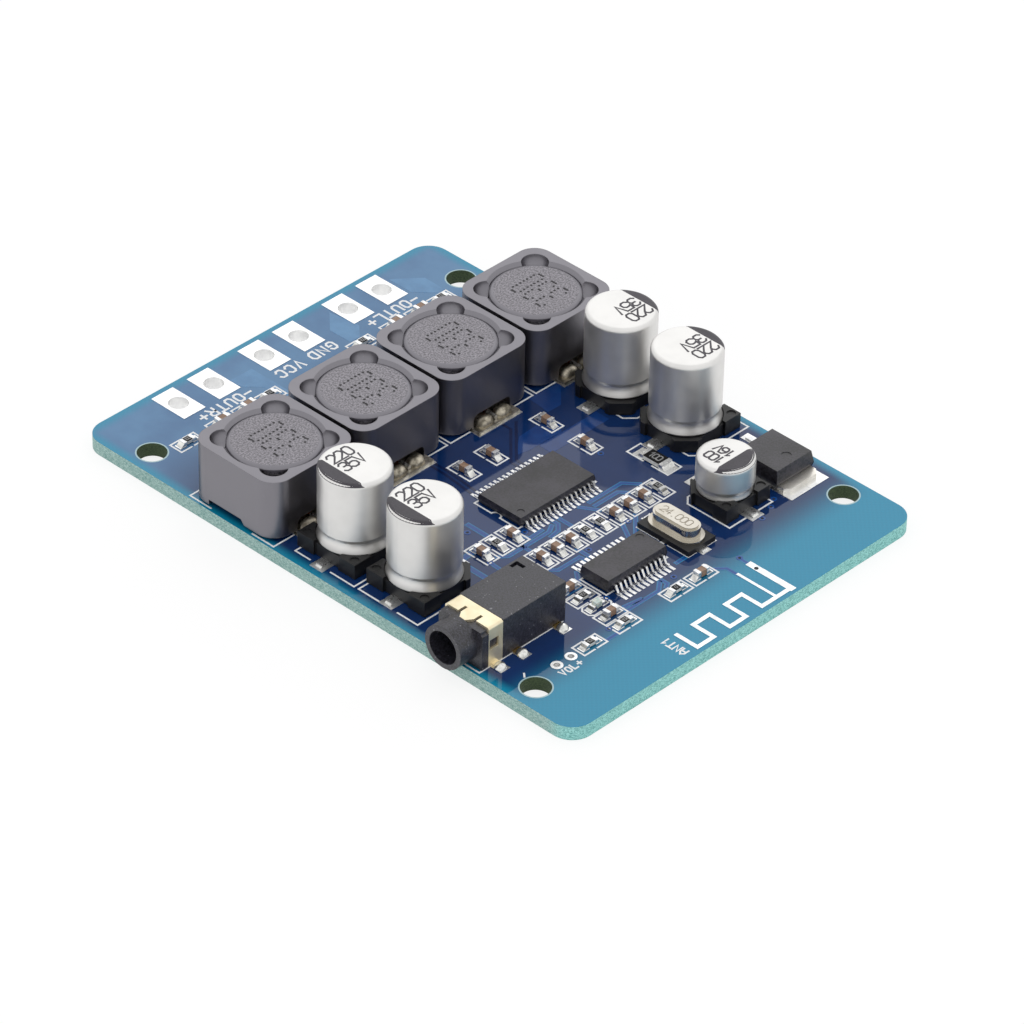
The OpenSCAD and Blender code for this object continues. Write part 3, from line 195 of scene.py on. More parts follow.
def metal(name, dark, light, rough, per_mm, depth, metallic=1.0):
    """A metal with patches of duller and brighter surface and faint relief."""
    look = Look(name)
    patch = look.noise(per_mm, 4.0)
    base = look.mix(look.ramp(patch, *SPAN), dark, light)
    look.bump(look.noise(per_mm * METAL_RELIEF, 3.0), depth, METAL_EDGE)
    patchy = look.ramp(patch, *SPAN, rough + METAL_DULLER, rough - METAL_BRIGHTER)
    return look.finish(base=base, metal=metallic, rough=patchy)


# Pour of copper under the mask: where its soft edges begin and end, along X and Y
POUR_X_LOW = (-34.9, -33.4)
POUR_X_HIGH = (29.8, 24.0)
POUR_Y_LOW = (-25.3, -23.9)
POUR_Y_HIGH = (25.3, 23.9)
# Where the mask turns paler towards the wire pads, a painted sheen, and how much
PALE_X = (-15.0, -28.0)
PALE_SHARE = 0.95
# Mounting holes: place in each quarter, the pale rim and the zone whose walls get a painted shade
HOLE_X = 27.4
HOLE_Y = 22.65
HOLE_RIM = 1.76
HOLE_SHADE_ZONE = 2.2
# Laminate: pitch of the weave, and of the layers at the cut edge with their share of its colour
WEAVE = 0.62
LAYER_PITCH = 0.4
LAYER_SHARE = 0.18
STRAND_SPAN = (0.34, 0.64)
# Where the cut edge turns clearer, beyond the copper
CLEAR_EDGE_X = (31.0, 34.0)
EDGE_ROUGH = 0.62
MASK_ROUGH = 0.05
# Solder mask: fine relief, as waves in a millimetre and depth
MASK_WAVES = 1.3
MASK_RELIEF = 0.0006
# Middle of the row of inductors, and how far from it wires are tinned and solder stays dull
INDUCTOR_X = -13.1
WIRE_TINNED = (5.2, 5.4)
DULL_SOLDER = (9.2, 8.8)
# Heights between which the cans turn darker towards the board, a painted shade, and how much
CAN_SHADE_HEIGHTS = (4.0, 3.1)
CAN_SHADE_SHARE = 0.55
FERRITE_TINT = (0.94, 0.91, 1.0, 1.0)


def board_material():
    """Blue mask over copper, teal where there is no copper, and layered glass at the cut edges."""
    look = Look("board_mask")
    x, y, z = look.split(look.place)
    pour = look.math(
        "MULTIPLY",
        look.math("MULTIPLY", look.ramp(x, *POUR_X_LOW), look.ramp(x, *POUR_X_HIGH)),
        look.math("MULTIPLY", look.ramp(y, *POUR_Y_LOW), look.ramp(y, *POUR_Y_HIGH)),
    )
    turn = 2 * math.pi / WEAVE
    weave = look.math(
        "MULTIPLY",
        look.math("SINE", look.math("MULTIPLY", x, turn)),
        look.math("SINE", look.math("MULTIPLY", y, turn)),
    )
    bare = look.mix(look.ramp(weave, -1.0, 1.0), srgb(16, 137, 173), srgb(19, 141, 177))
    cloud = look.noise(0.16, 3.0)
    mask = look.mix(look.ramp(cloud, *SPAN), srgb(12, 45, 95), srgb(16, 51, 105))
    # Paler mask towards the wire pads: painted sheen of the lit glossy mask
    wear_and_sheen = look.mix(look.ramp(cloud, *SPAN), srgb(74, 118, 162), srgb(88, 136, 178))
    mask = look.mix(look.ramp(x, *PALE_X, 0.0, PALE_SHARE), mask, wear_and_sheen)
    face = look.mix(pour, bare, mask)
    strand = look.noise(7.0, 4.0, (0.7, 0.7, 1.6), 0.7)
    edge = look.mix(look.ramp(strand, *STRAND_SPAN), srgb(104, 152, 148), srgb(194, 220, 214))
    layer_turn = 2 * math.pi / LAYER_PITCH
    layer = look.ramp(look.math("SINE", look.math("MULTIPLY", z, layer_turn)), -1, 1)
    edge = look.mix(look.math("MULTIPLY", layer, LAYER_SHARE), edge, srgb(128, 188, 182))
    clear = look.mix(look.ramp(strand, *STRAND_SPAN), srgb(95, 166, 163), srgb(177, 241, 236))
    edge = look.mix(look.ramp(x, *CLEAR_EDGE_X), edge, clear)
    from_x = look.math("SUBTRACT", look.math("ABSOLUTE", x), HOLE_X)
    from_y = look.math("SUBTRACT", look.math("ABSOLUTE", y), HOLE_Y)
    from_hole = look.math(
        "SQRT",
        look.math("ADD", look.math("POWER", from_x, 2.0), look.math("POWER", from_y, 2.0)),
    )
    face = look.mix(look.math("LESS_THAN", from_hole, HOLE_RIM), face, srgb(170, 200, 206))
    # Hole walls: darker green, painted shade inside the holes
    shaded_hole_wall = look.mix(look.ramp(strand, *SPAN), srgb(44, 64, 42), srgb(86, 106, 70))
    edge = look.mix(look.math("LESS_THAN", from_hole, HOLE_SHADE_ZONE), edge, shaded_hole_wall)
    upright = look.math("ABSOLUTE", look.split(look.geometry.outputs["True Normal"])[2])
    flat = look.math("GREATER_THAN", upright, 0.5)
    smoother = look.math("MULTIPLY", flat, EDGE_ROUGH - MASK_ROUGH)
    rough = look.math("SUBTRACT", EDGE_ROUGH, smoother)
    look.bump(look.noise(MASK_WAVES, 2.0), MASK_RELIEF, 0.05)
    return look.finish(base=look.mix(flat, edge, face), rough=rough, ior=1.5)


def mask_material(name, low, high):
    """Solder mask of one tone, as glossy as the board's."""
    look = Look(name)
    base = look.mix(look.ramp(look.noise(0.5, 3.0), *SPAN), low, high)
    look.bump(look.noise(MASK_WAVES, 2.0), MASK_RELIEF)
    return look.finish(base=base, rough=MASK_ROUGH, ior=1.5)


def shield_material():
    """Coated ferrite: satin, finely mottled, with a trace of scuffing."""
    look = Look("ferrite_shield")
    grain = look.noise(14.0, 2.0)
    broad = look.noise(0.45, 3.0)
    base = look.mix(look.ramp(broad, *SPAN), srgb(14, 13, 15), srgb(24, 23, 26))
    scuff = look.ramp(look.noise(1.6, 4.0, roughness=0.7), 0.66, 0.8)
    base = look.mix(look.math("MULTIPLY", scuff, 0.25), base, srgb(110, 108, 114))
    look.bump(grain, 0.002, 0.1)
    rough = look.ramp(broad, *SPAN, 0.33, 0.39)
    return look.finish(base=base, rough=rough, ior=2.9, tint=FERRITE_TINT)


def drum_material():
    """Ground ferrite: light and dark grains, a little longer along Y."""
    look = Look("drum_ferrite")
    grain = look.noise(5.6, 3.0, (1.0, 0.75, 1.0), 0.7)
    broad = look.noise(0.6, 3.0)
    base = look.mix(look.ramp(grain, 0.38, 0.62), srgb(14, 13, 16), srgb(140, 136, 142))
    # Broad patches of wear on the ground ferrite
    wear_and_sheen = look.math("MULTIPLY", look.ramp(broad, *SPAN), 0.25)
    base = look.mix(wear_and_sheen, base, srgb(76, 72, 74))
    look.bump(grain, 0.016, 0.1)
    rough = look.ramp(grain, *SPAN, 0.42, 0.52)
    return look.finish(base=base, rough=rough, ior=2.2, tint=FERRITE_TINT)


def can_material():
    """Drawn aluminium with a matt skin, faint drawing lines, a few marks and painted shade towards
    the board.
    """
    look = Look("can_aluminium")
    lines = look.noise(5.0, 2.0, (1, 1, 0.05))
    patch = look.noise(0.35, 2.0)
    base = look.mix(look.ramp(patch, *SPAN), srgb(222, 221, 219), srgb(230, 229, 227))
    spot = look.ramp(look.noise(2.2, 3.0, roughness=0.7), 0.76, 0.84)
    base = look.mix(look.math("MULTIPLY", spot, 0.25), base, srgb(150, 150, 152))
    # Darker towards the board: painted shade on the can's lower part
    low = look.ramp(look.split(look.place)[2], *CAN_SHADE_HEIGHTS, 0.0, CAN_SHADE_SHARE)
    base = look.mix(low, base, srgb(120, 119, 118))
    look.bump(lines, 0.0004, 0.06)
    return look.finish(base=base, metal=0.93, rough=look.ramp(patch, *SPAN, 0.38, 0.44))


def wire_material():
    """Enamelled copper wire, bare and tinned where it leaves the shield."""
    look = Look("enamelled_wire")
    patch = look.noise(3.0, 3.0)
    copper = look.mix(look.ramp(patch, *SPAN), srgb(112, 54, 24), srgb(186, 104, 56))
    tinned = look.mix(look.ramp(patch, *SPAN), srgb(150, 148, 144), srgb(226, 224, 220))
    out = look.math("ABSOLUTE", look.math("SUBTRACT", look.split(look.place)[0], INDUCTOR_X))
    base = look.mix(look.ramp(out, *WIRE_TINNED), copper, tinned)
    look.bump(look.noise(8.0), 0.004)
    return look.finish(base=base, metal=0.85, rough=look.ramp(patch, *SPAN, 0.25, 0.4))


def jack_material():
    """Moulded black plastic with a fine grain and a few pale specks of dust."""
    look = Look("jack_plastic")
    grain = look.noise(5.0, 3.0, roughness=0.7)
    broad = look.noise(0.5, 3.0)
    base = look.mix(look.ramp(grain, 0.38, 0.62), srgb(2, 2, 4), srgb(56, 55, 66))
    patch = look.math("MULTIPLY", look.ramp(broad, 0.4, 0.7), 0.3)
    base = look.mix(patch, base, srgb(48, 48, 58))
    speck = look.ramp(look.noise(3.2, 2.0, roughness=0.4), 0.7, 0.74)
    base = look.mix(look.math("MULTIPLY", speck, 0.7), base, srgb(150, 150, 156))
    look.bump(grain, 0.022, 0.08)
    return look.finish(base=base, rough=look.ramp(grain, *SPAN, 0.32, 0.44), ior=1.64)


def solder_material():
    """Bright solder, dull and warm where it holds the inductors."""
    look = Look("solder")
    patch = look.noise(1.4, 4.0)
    share = look.ramp(patch, *SPAN)
    bright = look.mix(share, srgb(190, 190, 188), srgb(240, 240, 236))
    dull = look.mix(share, srgb(112, 106, 94), srgb(206, 198, 180))
    out = look.math("ABSOLUTE", look.math("SUBTRACT", look.split(look.place)[0], INDUCTOR_X))
    near = look.ramp(out, *DULL_SOLDER)
    look.bump(look.noise(3.0, 3.0), 0.012, 0.03)
    own = look.ramp(patch, *SPAN, 0.3, 0.15)
    rough = look.math("ADD", own, look.math("MULTIPLY", near, 0.25))
    return look.finish(base=look.mix(near, bright, dull), metal=1.0, rough=rough)


def led_material():
    """Milky resin of the indicator."""
    look = Look("led_lens")
    share = look.ramp(look.noise(2.0, 3.0), *BLEND_SPAN)
    base = look.mix(share, srgb(196, 214, 200), srgb(232, 238, 226))
    look.bump(look.noise(9.0), 0.003, 0.05)
    return look.finish(base=base, rough=look.ramp(share, 0, 1, 0.18, 0.3), ior=1.5, sub=0.2)


LOOKS = {
    "board": board_material(),
    "trace_gap": mask_material("trace_gap", srgb(24, 104, 160), srgb(34, 120, 172)),
    "trace": mask_material("trace_copper", srgb(22, 72, 146), srgb(28, 82, 156)),
    "area": mask_material("copper_area", srgb(86, 134, 178), srgb(96, 146, 190)),
    "deep_area": mask_material("deep_copper_area", srgb(18, 58, 122), srgb(22, 66, 132)),
    "dark_run": mask_material("dark_copper_run", srgb(8, 27, 70), srgb(11, 33, 79)),
    # Via holes: dark discs of painted shade
    "via": speckled("painted_via_shade", srgb(4, 8, 16), srgb(14, 22, 34), 6.0, 0.5, 0.004),
    "silk": speckled("silk_print", srgb(240, 243, 246), srgb(255, 255, 255), 3.5, 0.62, 0.002),
    "ink": speckled("can_ink", srgb(50, 47, 54), srgb(66, 62, 70), 5.0, 0.42, 0.002),
    "dot_ink": speckled("drum_ink", srgb(16, 15, 18), srgb(34, 32, 36), 9.0, 0.6, 0.003),
    "code": speckled("resistor_code", srgb(128, 129, 131), srgb(178, 178, 178), 9.0, 0.5, 0.002),
    "faint": speckled("crystal_code", srgb(152, 143, 126), srgb(180, 171, 154), 9.0, 0.4, 0.002),
    "pad": metal("wire_pad_tin", srgb(244, 244, 244), srgb(253, 253, 252), 0.4, 0.9, 0.002),
    "tin": metal("tinned_copper", srgb(220, 221, 222), srgb(248, 248, 246), 0.3, 0.9, 0.002),
    "tab": metal("regulator_tab_tin", srgb(222, 218, 209), srgb(246, 243, 236), 0.3, 0.5, 0.001),
    "antenna": metal("antenna_tin", srgb(226, 230, 232), srgb(250, 250, 250), 0.3, 1.2, 0.004),
    "solder": solder_material(),
    "lead": metal("tinned_leads", srgb(212, 213, 214), srgb(248, 248, 247), 0.25, 2.0, 0.002),
    "terminal": metal(
        "inductor_terminal", srgb(136, 130, 118), srgb(208, 202, 188), 0.34, 1.5, 0.01
    ),
    "shield": shield_material(),
    "drum": drum_material(),
    "wire": wire_material(),
    "can": can_material(),
    "base": speckled("base_plastic", srgb(8, 8, 9), srgb(20, 20, 22), 10.0, 0.42, 0.006, 0.06),
    "chip": speckled(
        "chip_plastic", srgb(4, 4, 6), srgb(58, 55, 64), 4.5, 0.4, 0.014, 0.05, ior=1.62
    ),
    "crystal": metal("crystal_case", srgb(198, 192, 180), srgb(208, 204, 195), 0.17, 0.3, 0.0002),
    "carrier": speckled(
        "crystal_carrier", srgb(14, 14, 16), srgb(28, 28, 30), 10.0, 0.45, 0.005, 0.05
    ),
    "jack": jack_material(),
    "clip": metal("clip_gold", srgb(242, 227, 190), srgb(250, 239, 208), 0.34, 0.5, 0.0006, 0.75),
    "contact": metal("contact_gold", srgb(196, 160, 92), srgb(236, 206, 140), 0.25, 2.0, 0.003),
    "ceramic": speckled(
        "brown_ceramic", srgb(132, 102, 82), srgb(162, 132, 110), 8.0, 0.4, 0.003, 0.06
    ),
    "alumina": speckled(
        "white_ceramic", srgb(206, 206, 202), srgb(238, 238, 234), 8.0, 0.55, 0.004, 0.04
    ),
    "glaze": speckled(
        "black_glaze", srgb(6, 6, 7), srgb(14, 14, 16), 6.0, 0.5, 0.002, 0.05, ior=1.3
    ),
    "led": led_material(),
}


def node_look(name):
    """The look of a CAD node, from its name."""
    exact = {
        "circuit_board": "board",
        "terminal_pads": "pad",
        "volume_pads": "pad",
        "component_lands": "tin",
        "antenna_trace": "antenna",
        "solder_joints": "solder",
        "crystal_can": "crystal",
        "crystal_carrier": "carrier",
        "regulator_tab": "tab",
        "jack_housing": "jack",
        "jack_sleeve_clip": "clip",
        "ceramic_capacitor_bodies": "ceramic",
        "resistor_bodies": "alumina",
        "resistor_coats": "glaze",
        "indicator_led_body": "led",
        "amplifier_chip_heat_pad": "tin",
    }
    endings = {
        "_shield": "shield",
        "_drum": "drum",
        "_winding": "wire",
        "_terminals": "terminal",
        "_can": "can",
        "_base": "base",
        "_leads": "lead",
        "_contact": "contact",
        "_ends": "lead",
        "_body": "chip",
    }
    if name in exact:
        return exact[name]
    return next(look for ending, look in endings.items() if name.endswith(ending))


for name, obj in nodes.items():
    obj.data.materials.clear()
    obj.data.materials.append(LOOKS[node_look(name)])


# Points closer than this are one point
SAME_POINT = 1e-6
# Sharpest corner of a ribbon that still gets a full mitre
MITRE_LIMIT = 0.35


def circle(x, y, radius, steps):
    """Points round a circle, anticlockwise."""
    angles = [2 * math.pi * i / steps for i in range(steps)]
    return [(x + radius * math.cos(a), y + radius * math.sin(a)) for a in angles]


class Marks:
    """Thin flat marks on level surfaces, gathered into one mesh. Sizes are in millimetres."""

    def __init__(self):
        self.points = []
        self.faces = []

    def prism(self, outline, z, thick=MARK_T):
        """A closed slab on a simple outline."""
        start, count = len(self.points), len(outline)
        for height in (z, z + thick):
            self.points += [(x, y, height) for x, y in outline]
        self.faces.append([start + i for i in reversed(range(count))])
        self.faces.append([start + count + i for i in range(count)])
        for i in range(count):
            j = (i + 1) % count
            self.faces.append([start + i, start + j, start + count + j, start + count + i])

    def tube(self, rows):
        """A closed skin through loops of points at their heights, the last joined to the first."""
        start, count = len(self.points), len(rows[0][0])
        for outline, z in rows:
            self.points += [(x, y, z) for x, y in outline]
        for band in range(len(rows)):
            near, far = start + band * count, start + (band + 1) % len(rows) * count
            for i in range(count):
                j = (i + 1) % count
                self.faces.append([near + i, near + j, far + j, far + i])

    def washer(self, inside, outside, z, thick):
        """A flat frame between two outlines."""
        self.tube([(inside, z), (outside, z), (outside, z + thick), (inside, z + thick)])

    def ring(self, x, y, inner, outer, z, thick=MARK_T, steps=20):
        """A round washer."""
        self.washer(circle(x, y, inner, steps), circle(x, y, outer, steps), z, thick)

    def disc(self, x, y, radius, z, thick=MARK_T, steps=16):
        """A round slab."""
        self.prism(circle(x, y, radius, steps), z, thick)

    def ribbon(self, line, width, z, thick=MARK_T):
        """A strip of even width along a line, with mitred corners and square ends.

        A line that ends where it begins becomes a closed loop.
        """
        closed = math.dist(line[0], line[-1]) < SAME_POINT
        if closed:
            line = line[:-1]
        count = len(line)
        legs = count if closed else count - 1
        sides = []
        for i in range(legs):
            (x0, y0), (x1, y1) = line[i], line[(i + 1) % count]
            length = math.hypot(x1 - x0, y1 - y0)
            sides.append(((y0 - y1) / length, (x1 - x0) / length))
        left, right = [], []
        for i, (x, y) in enumerate(line):
            before = sides[i - 1] if i or closed else sides[0]
            after = sides[i] if i < legs else sides[-1]
            share = 1 + before[0] * after[0] + before[1] * after[1]
            reach = width / 2 / max(share, MITRE_LIMIT)
            nx, ny = (before[0] + after[0]) * reach, (before[1] + after[1]) * reach
            end = 0.0
            if not closed and i in (0, count - 1):
                end = width / 2 * (-1 if i == 0 else 1)
            dx, dy = after[1] * end, -after[0] * end
            left.append((x + nx + dx, y + ny + dy))
            right.append((x - nx + dx, y - ny + dy))
        if closed:
            self.washer(right, left, z, thick)
        else:
            self.prism(right + left[::-1], z, thick)

    def text(self, words, start, advance, up, height, run, width, z):
        """Drawn letters from a starting corner, along advance, that fill a run.

        Each stroke lies a little higher than the last, so that no two faces coincide.
        """
        pitch = (run - GLYPH_W * height) / max(len(words) - 1, 1)
        for i, letter in enumerate(words):
            for stroke in GLYPHS[letter]:
                line = []
                for u, v in stroke:
                    along, rise = i * pitch + u * height, v * height
                    line.append(
                        (
                            start[0] + advance[0] * along + up[0] * rise,
                            start[1] + advance[1] * along + up[1] * rise,
                        )
                    )
                self.ribbon(line, width, z)
                z += STROKE_STEP

    def make(self, name, look):
        """The marks as one piece that rides on the board."""
        mesh = bpy.data.meshes.new(name)
        mesh.from_pydata([(x * MM, y * MM, z * MM) for x, y, z in self.points], [], self.faces)
        shaped = bmesh.new()
        shaped.from_mesh(mesh)
        bmesh.ops.recalc_face_normals(shaped, faces=shaped.faces)
        shaped.to_mesh(mesh)
        shaped.free()
        mesh.materials.append(LOOKS[look])
        obj = bpy.data.objects.new(name, mesh)
        bpy.context.scene.collection.objects.link(obj)
        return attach(obj, "root")


# Drawn letters: strokes on a cell that is GLYPH_W wide and 1 high
GLYPH_W = 0.62
STROKE_STEP = 0.0002
OPEN_ROUND = [
    (0.62, 0.8), (0.47, 1), (0.15, 1), (0, 0.8), (0, 0.2), (0.15, 0), (0.47, 0), (0.62, 0.2),
]
ROUND = [
    (0.15, 0), (0, 0.2), (0, 0.8), (0.15, 1), (0.47, 1), (0.62, 0.8), (0.62, 0.2), (0.47, 0),
    (0.15, 0),
]
GLYPHS = {
    "A": [[(0, 0), (0, 0.65), (0.31, 1), (0.62, 0.65), (0.62, 0)], [(0, 0.4), (0.62, 0.4)]],
    "C": [OPEN_ROUND],
    "D": [[(0, 0), (0, 1), (0.4, 1), (0.62, 0.75), (0.62, 0.25), (0.4, 0), (0, 0)]],
    "G": [OPEN_ROUND, [(0.62, 0.2), (0.62, 0.48), (0.36, 0.48)]],
    "L": [[(0, 1), (0, 0), (0.6, 0)]],
    "N": [[(0, 0), (0, 1), (0.62, 0), (0.62, 1)]],
    "O": [ROUND],
    "R": [
        [(0, 0), (0, 1), (0.45, 1), (0.62, 0.86), (0.62, 0.62), (0.45, 0.48), (0, 0.48)],
        [(0.3, 0.48), (0.62, 0)],
    ],
    "T": [[(0, 1), (0.62, 1)], [(0.31, 1), (0.31, 0)]],
    "U": [[(0, 1), (0, 0.2), (0.15, 0), (0.47, 0), (0.62, 0.2), (0.62, 1)]],
    "V": [[(0, 1), (0.31, 0), (0.62, 1)]],
    "+": [[(0, 0.5), (0.62, 0.5)], [(0.31, 0.19), (0.31, 0.81)]],
    "-": [[(0, 0.5), (0.62, 0.5)]],
    ".": [[(0.28, 0), (0.34, 0)]],
    "0": [ROUND],
    "1": [[(0.12, 0.74), (0.34, 1), (0.34, 0)]],
    "2": [[(0, 0.78), (0.15, 1), (0.47, 1), (0.62, 0.8), (0.62, 0.62), (0, 0), (0.62, 0)]],
    "3": [
        [(0, 0.84), (0.15, 1), (0.47, 1), (0.62, 0.84), (0.62, 0.66), (0.47, 0.53), (0.24, 0.53)],
        [(0.47, 0.53), (0.62, 0.38), (0.62, 0.16), (0.47, 0), (0.15, 0), (0, 0.16)],
    ],
    "4": [[(0.47, 0), (0.47, 1), (0, 0.3), (0.62, 0.3)]],
    "5": [
        [(0.58, 1), (0.06, 1), (0.01, 0.53), (0.2, 0.62), (0.44, 0.62), (0.62, 0.45), (0.62, 0.17)],
        [(0.62, 0.17), (0.45, 0), (0.15, 0), (0, 0.15)],
    ],
    "6": [
        [
            (0.54, 1), (0.26, 1), (0, 0.62), (0, 0.18), (0.15, 0), (0.47, 0), (0.62, 0.18),
            (0.62, 0.4),
        ],
        [(0.62, 0.4), (0.47, 0.56), (0.15, 0.56), (0, 0.42)],
    ],
}


def middle(node):
    """Centre of a CAD node along X and Y, and its top, in millimetres."""
    low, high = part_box(node)
    centre = (low + high) / 2 / MM
    return centre.x, centre.y, high.z / MM


# Copper under the mask: runs with a gap on each side, broad areas, dark runs, and via holes drawn
# as dark discs of painted shade
TRACE_W = 0.26
GAP_W = 0.14
TRACES = [
    ([(9.8, -1.8), (10.4, -1.8), (11.2, -2.6), (11.4, -3.8)], TRACE_W),
    ([(10, -1.05), (11.4, -1.05)], TRACE_W),
    ([(10.2, -2.5), (10.7, -3.4), (10.7, -9.3), (10, -10.2)], TRACE_W),
    ([(10.7, -7.1), (11.6, -7.1)], TRACE_W),
    ([(10, -3.8), (10.1, -5.6), (9.5, -5.8)], TRACE_W),
    ([(4.2, -8.4), (6.7, -8.4)], 0.4),
    ([(7.7, -11.6), (7.8, -13.2), (8.2, -13.5), (11.4, -13.5)], 0.5),
    ([(10.2, -11.4), (11.4, -11.45)], TRACE_W),
    ([(14.8, -3.5), (16.4, -3.5)], TRACE_W),
    ([(16.4, -4.2), (15.8, -4.3), (15.8, -7.4), (14.8, -8.4)], TRACE_W),
    ([(17.4, -6.4), (19.2, -7.9), (19.2, -9.5)], TRACE_W),
    ([(24.2, -1.2), (25, -1.2), (25.3, -1.7)], TRACE_W),
    ([(24.3, -1.6), (25.2, -2.7), (25.2, -7.4)], TRACE_W),
    ([(24.9, -5), (24.6, -7)], TRACE_W),
    ([(27.1, -10.4), (27.1, -12.3)], TRACE_W),
    ([(23.3, 2), (23.3, 3.2)], TRACE_W),
    ([(29.2, 4.9), (27.5, 4.9), (26.3, 3.6)], TRACE_W),
    ([(28.8, 7.05), (27.4, 7.05)], TRACE_W),
    ([(10.1, 3.2), (10.1, 7.9), (11.5, 9.1)], TRACE_W),
    ([(10.9, 3.2), (10.9, 6.5), (11.7, 7.2)], TRACE_W),
    ([(10, 1.85), (11.7, 2.9)], TRACE_W),
    ([(14.9, 4.9), (17.2, 2.5)], TRACE_W),
    ([(15.1, 2.8), (17.1, 1.6)], TRACE_W),
]
AREAS = [
    [(-32, 17.9), (-32.7, 17), (-29.3, 17), (-27.2, 19), (-27.2, 19.9), (-30.2, 20)],
    [(-32.7, 8.1), (-30.3, 5.8), (-27.2, 5.8), (-27.2, 7.2), (-28.8, 8.7)],
    [(-24.3, -5), (-31, -5), (-31, -8.05), (-29.4, -8.05), (-27.7, -6.4), (-24.3, -6.4)],
]
DEEP_AREAS = [
    [(-6.6, 16.4), (-7.1, 11.9), (-3.83, 11.57), (-3.75, 13.44)],
    [(-0.35, 15.2), (-0.35, 6.6), (1.5, 6.6), (1.5, 15.2)],
    [(-0.81, 3.77), (-0.45, 5.4), (-0.4, 10.03), (-1.47, 10.91), (-3.03, 9.09), (-2.88, 6.24)],
]
DARK_RUNS = [
    [(0.9, -4.4), (-3.6, -3.9), (-6.5, -3.9)],
    [(0.9, -3.75), (-3.6, -3.3), (-6.5, -3.3)],
    [(0.9, 3.1), (-0.2, 3.1), (-3.9, 6.9), (-4.9, 7.9)],
    [(0.9, 2.4), (-0.3, 2.4), (-4.4, 6.6), (-6.5, 6.6)],
]
DARK_RUN_W = 0.32
VIAS = [
    (15.6, -2.75), (5.0, -9.4), (10.2, -11.4), (26.0, -10.8), (9.0, -5.2), (24.7, 0.05),
    (22.4, -7.3), (5.07, 10.15), (27.2, 7.1), (15.1, 3.6), (22.9, 17.0), (23.6, 15.8),
    (24.3, 13.7),
]
GAP_Z = BOARD_TOP
TRACE_Z = BOARD_TOP + 0.004
VIA_R = 0.17
VIA_RING_R = 0.36
# Via in the antenna's stub, a dark disc of painted shade: place, radius and height on top of its
# copper
STUB_VIA = (29.6, 6.97)
STUB_VIA_R = 0.24
STUB_VIA_Z = BOARD_TOP + 0.06

gaps, copper, areas, deep, dark_runs, via_shades = (Marks() for part in range(6))
for line, width in TRACES:
    gaps.ribbon(line, width + 2 * GAP_W, GAP_Z)
    copper.ribbon(line, width, TRACE_Z)
for outline in AREAS:
    areas.prism(outline, BOARD_TOP)
for outline in DEEP_AREAS:
    deep.prism(outline, BOARD_TOP)
for run in DARK_RUNS:
    dark_runs.ribbon(run, DARK_RUN_W, TRACE_Z)
# Each via: a copper ring, and a dark disc of painted shade where its hole is
for x, y in VIAS:
    copper.ring(x, y, VIA_R, VIA_RING_R, TRACE_Z, 2 * MARK_T)
    via_shades.disc(x, y, VIA_R, TRACE_Z)
via_shades.disc(*STUB_VIA, STUB_VIA_R, STUB_VIA_Z)
gaps.make("trace_gaps", "trace_gap")
copper.make("trace_copper_runs", "trace")
areas.make("copper_areas", "area")
deep.make("deep_copper_areas", "deep_area")
dark_runs.make("dark_copper_runs", "dark_run")
via_shades.make("via_shade_discs", "via")

# White print on the board
SILK_W = 0.2
SILK_Z = BOARD_TOP + 0.006
SILK_T = 0.02
silk = Marks()


def draw(*lines):
    """White lines on the board."""
    for line in lines:
        silk.ribbon(line, SILK_W, SILK_Z, SILK_T)


def bracket(x, y, half_x, half_y, gap, along_y):
    """Two facing brackets round a small component, open at the middle of the long sides."""
    for side in SIDES:
        if along_y:
            draw([
                (x - half_x, y + side * gap), (x - half_x, y + side * half_y),
                (x + half_x, y + side * half_y), (x + half_x, y + side * gap),
            ])
        else:
            draw([
                (x + side * gap, y - half_y), (x + side * half_x, y - half_y),
                (x + side * half_x, y + half_y), (x + side * gap, y + half_y),
            ])


# Corners round each inductor: reach from its middle, and where they stop along its sides
INDUCTORS = range(1, 5)
SHIELD_HALF = 6.1
SHIELD_OPEN = 3.2
for n in INDUCTORS:
    x, y, _ = middle(f"inductor_{n}_shield")
    for side in SIDES:
        line_x = x + side * SHIELD_HALF
        for way in SIDES:
            draw([
                (line_x, y + way * SHIELD_OPEN), (line_x, y + way * SHIELD_HALF),
                (x + side * SHIELD_HALF / 2, y + way * SHIELD_HALF),
            ])

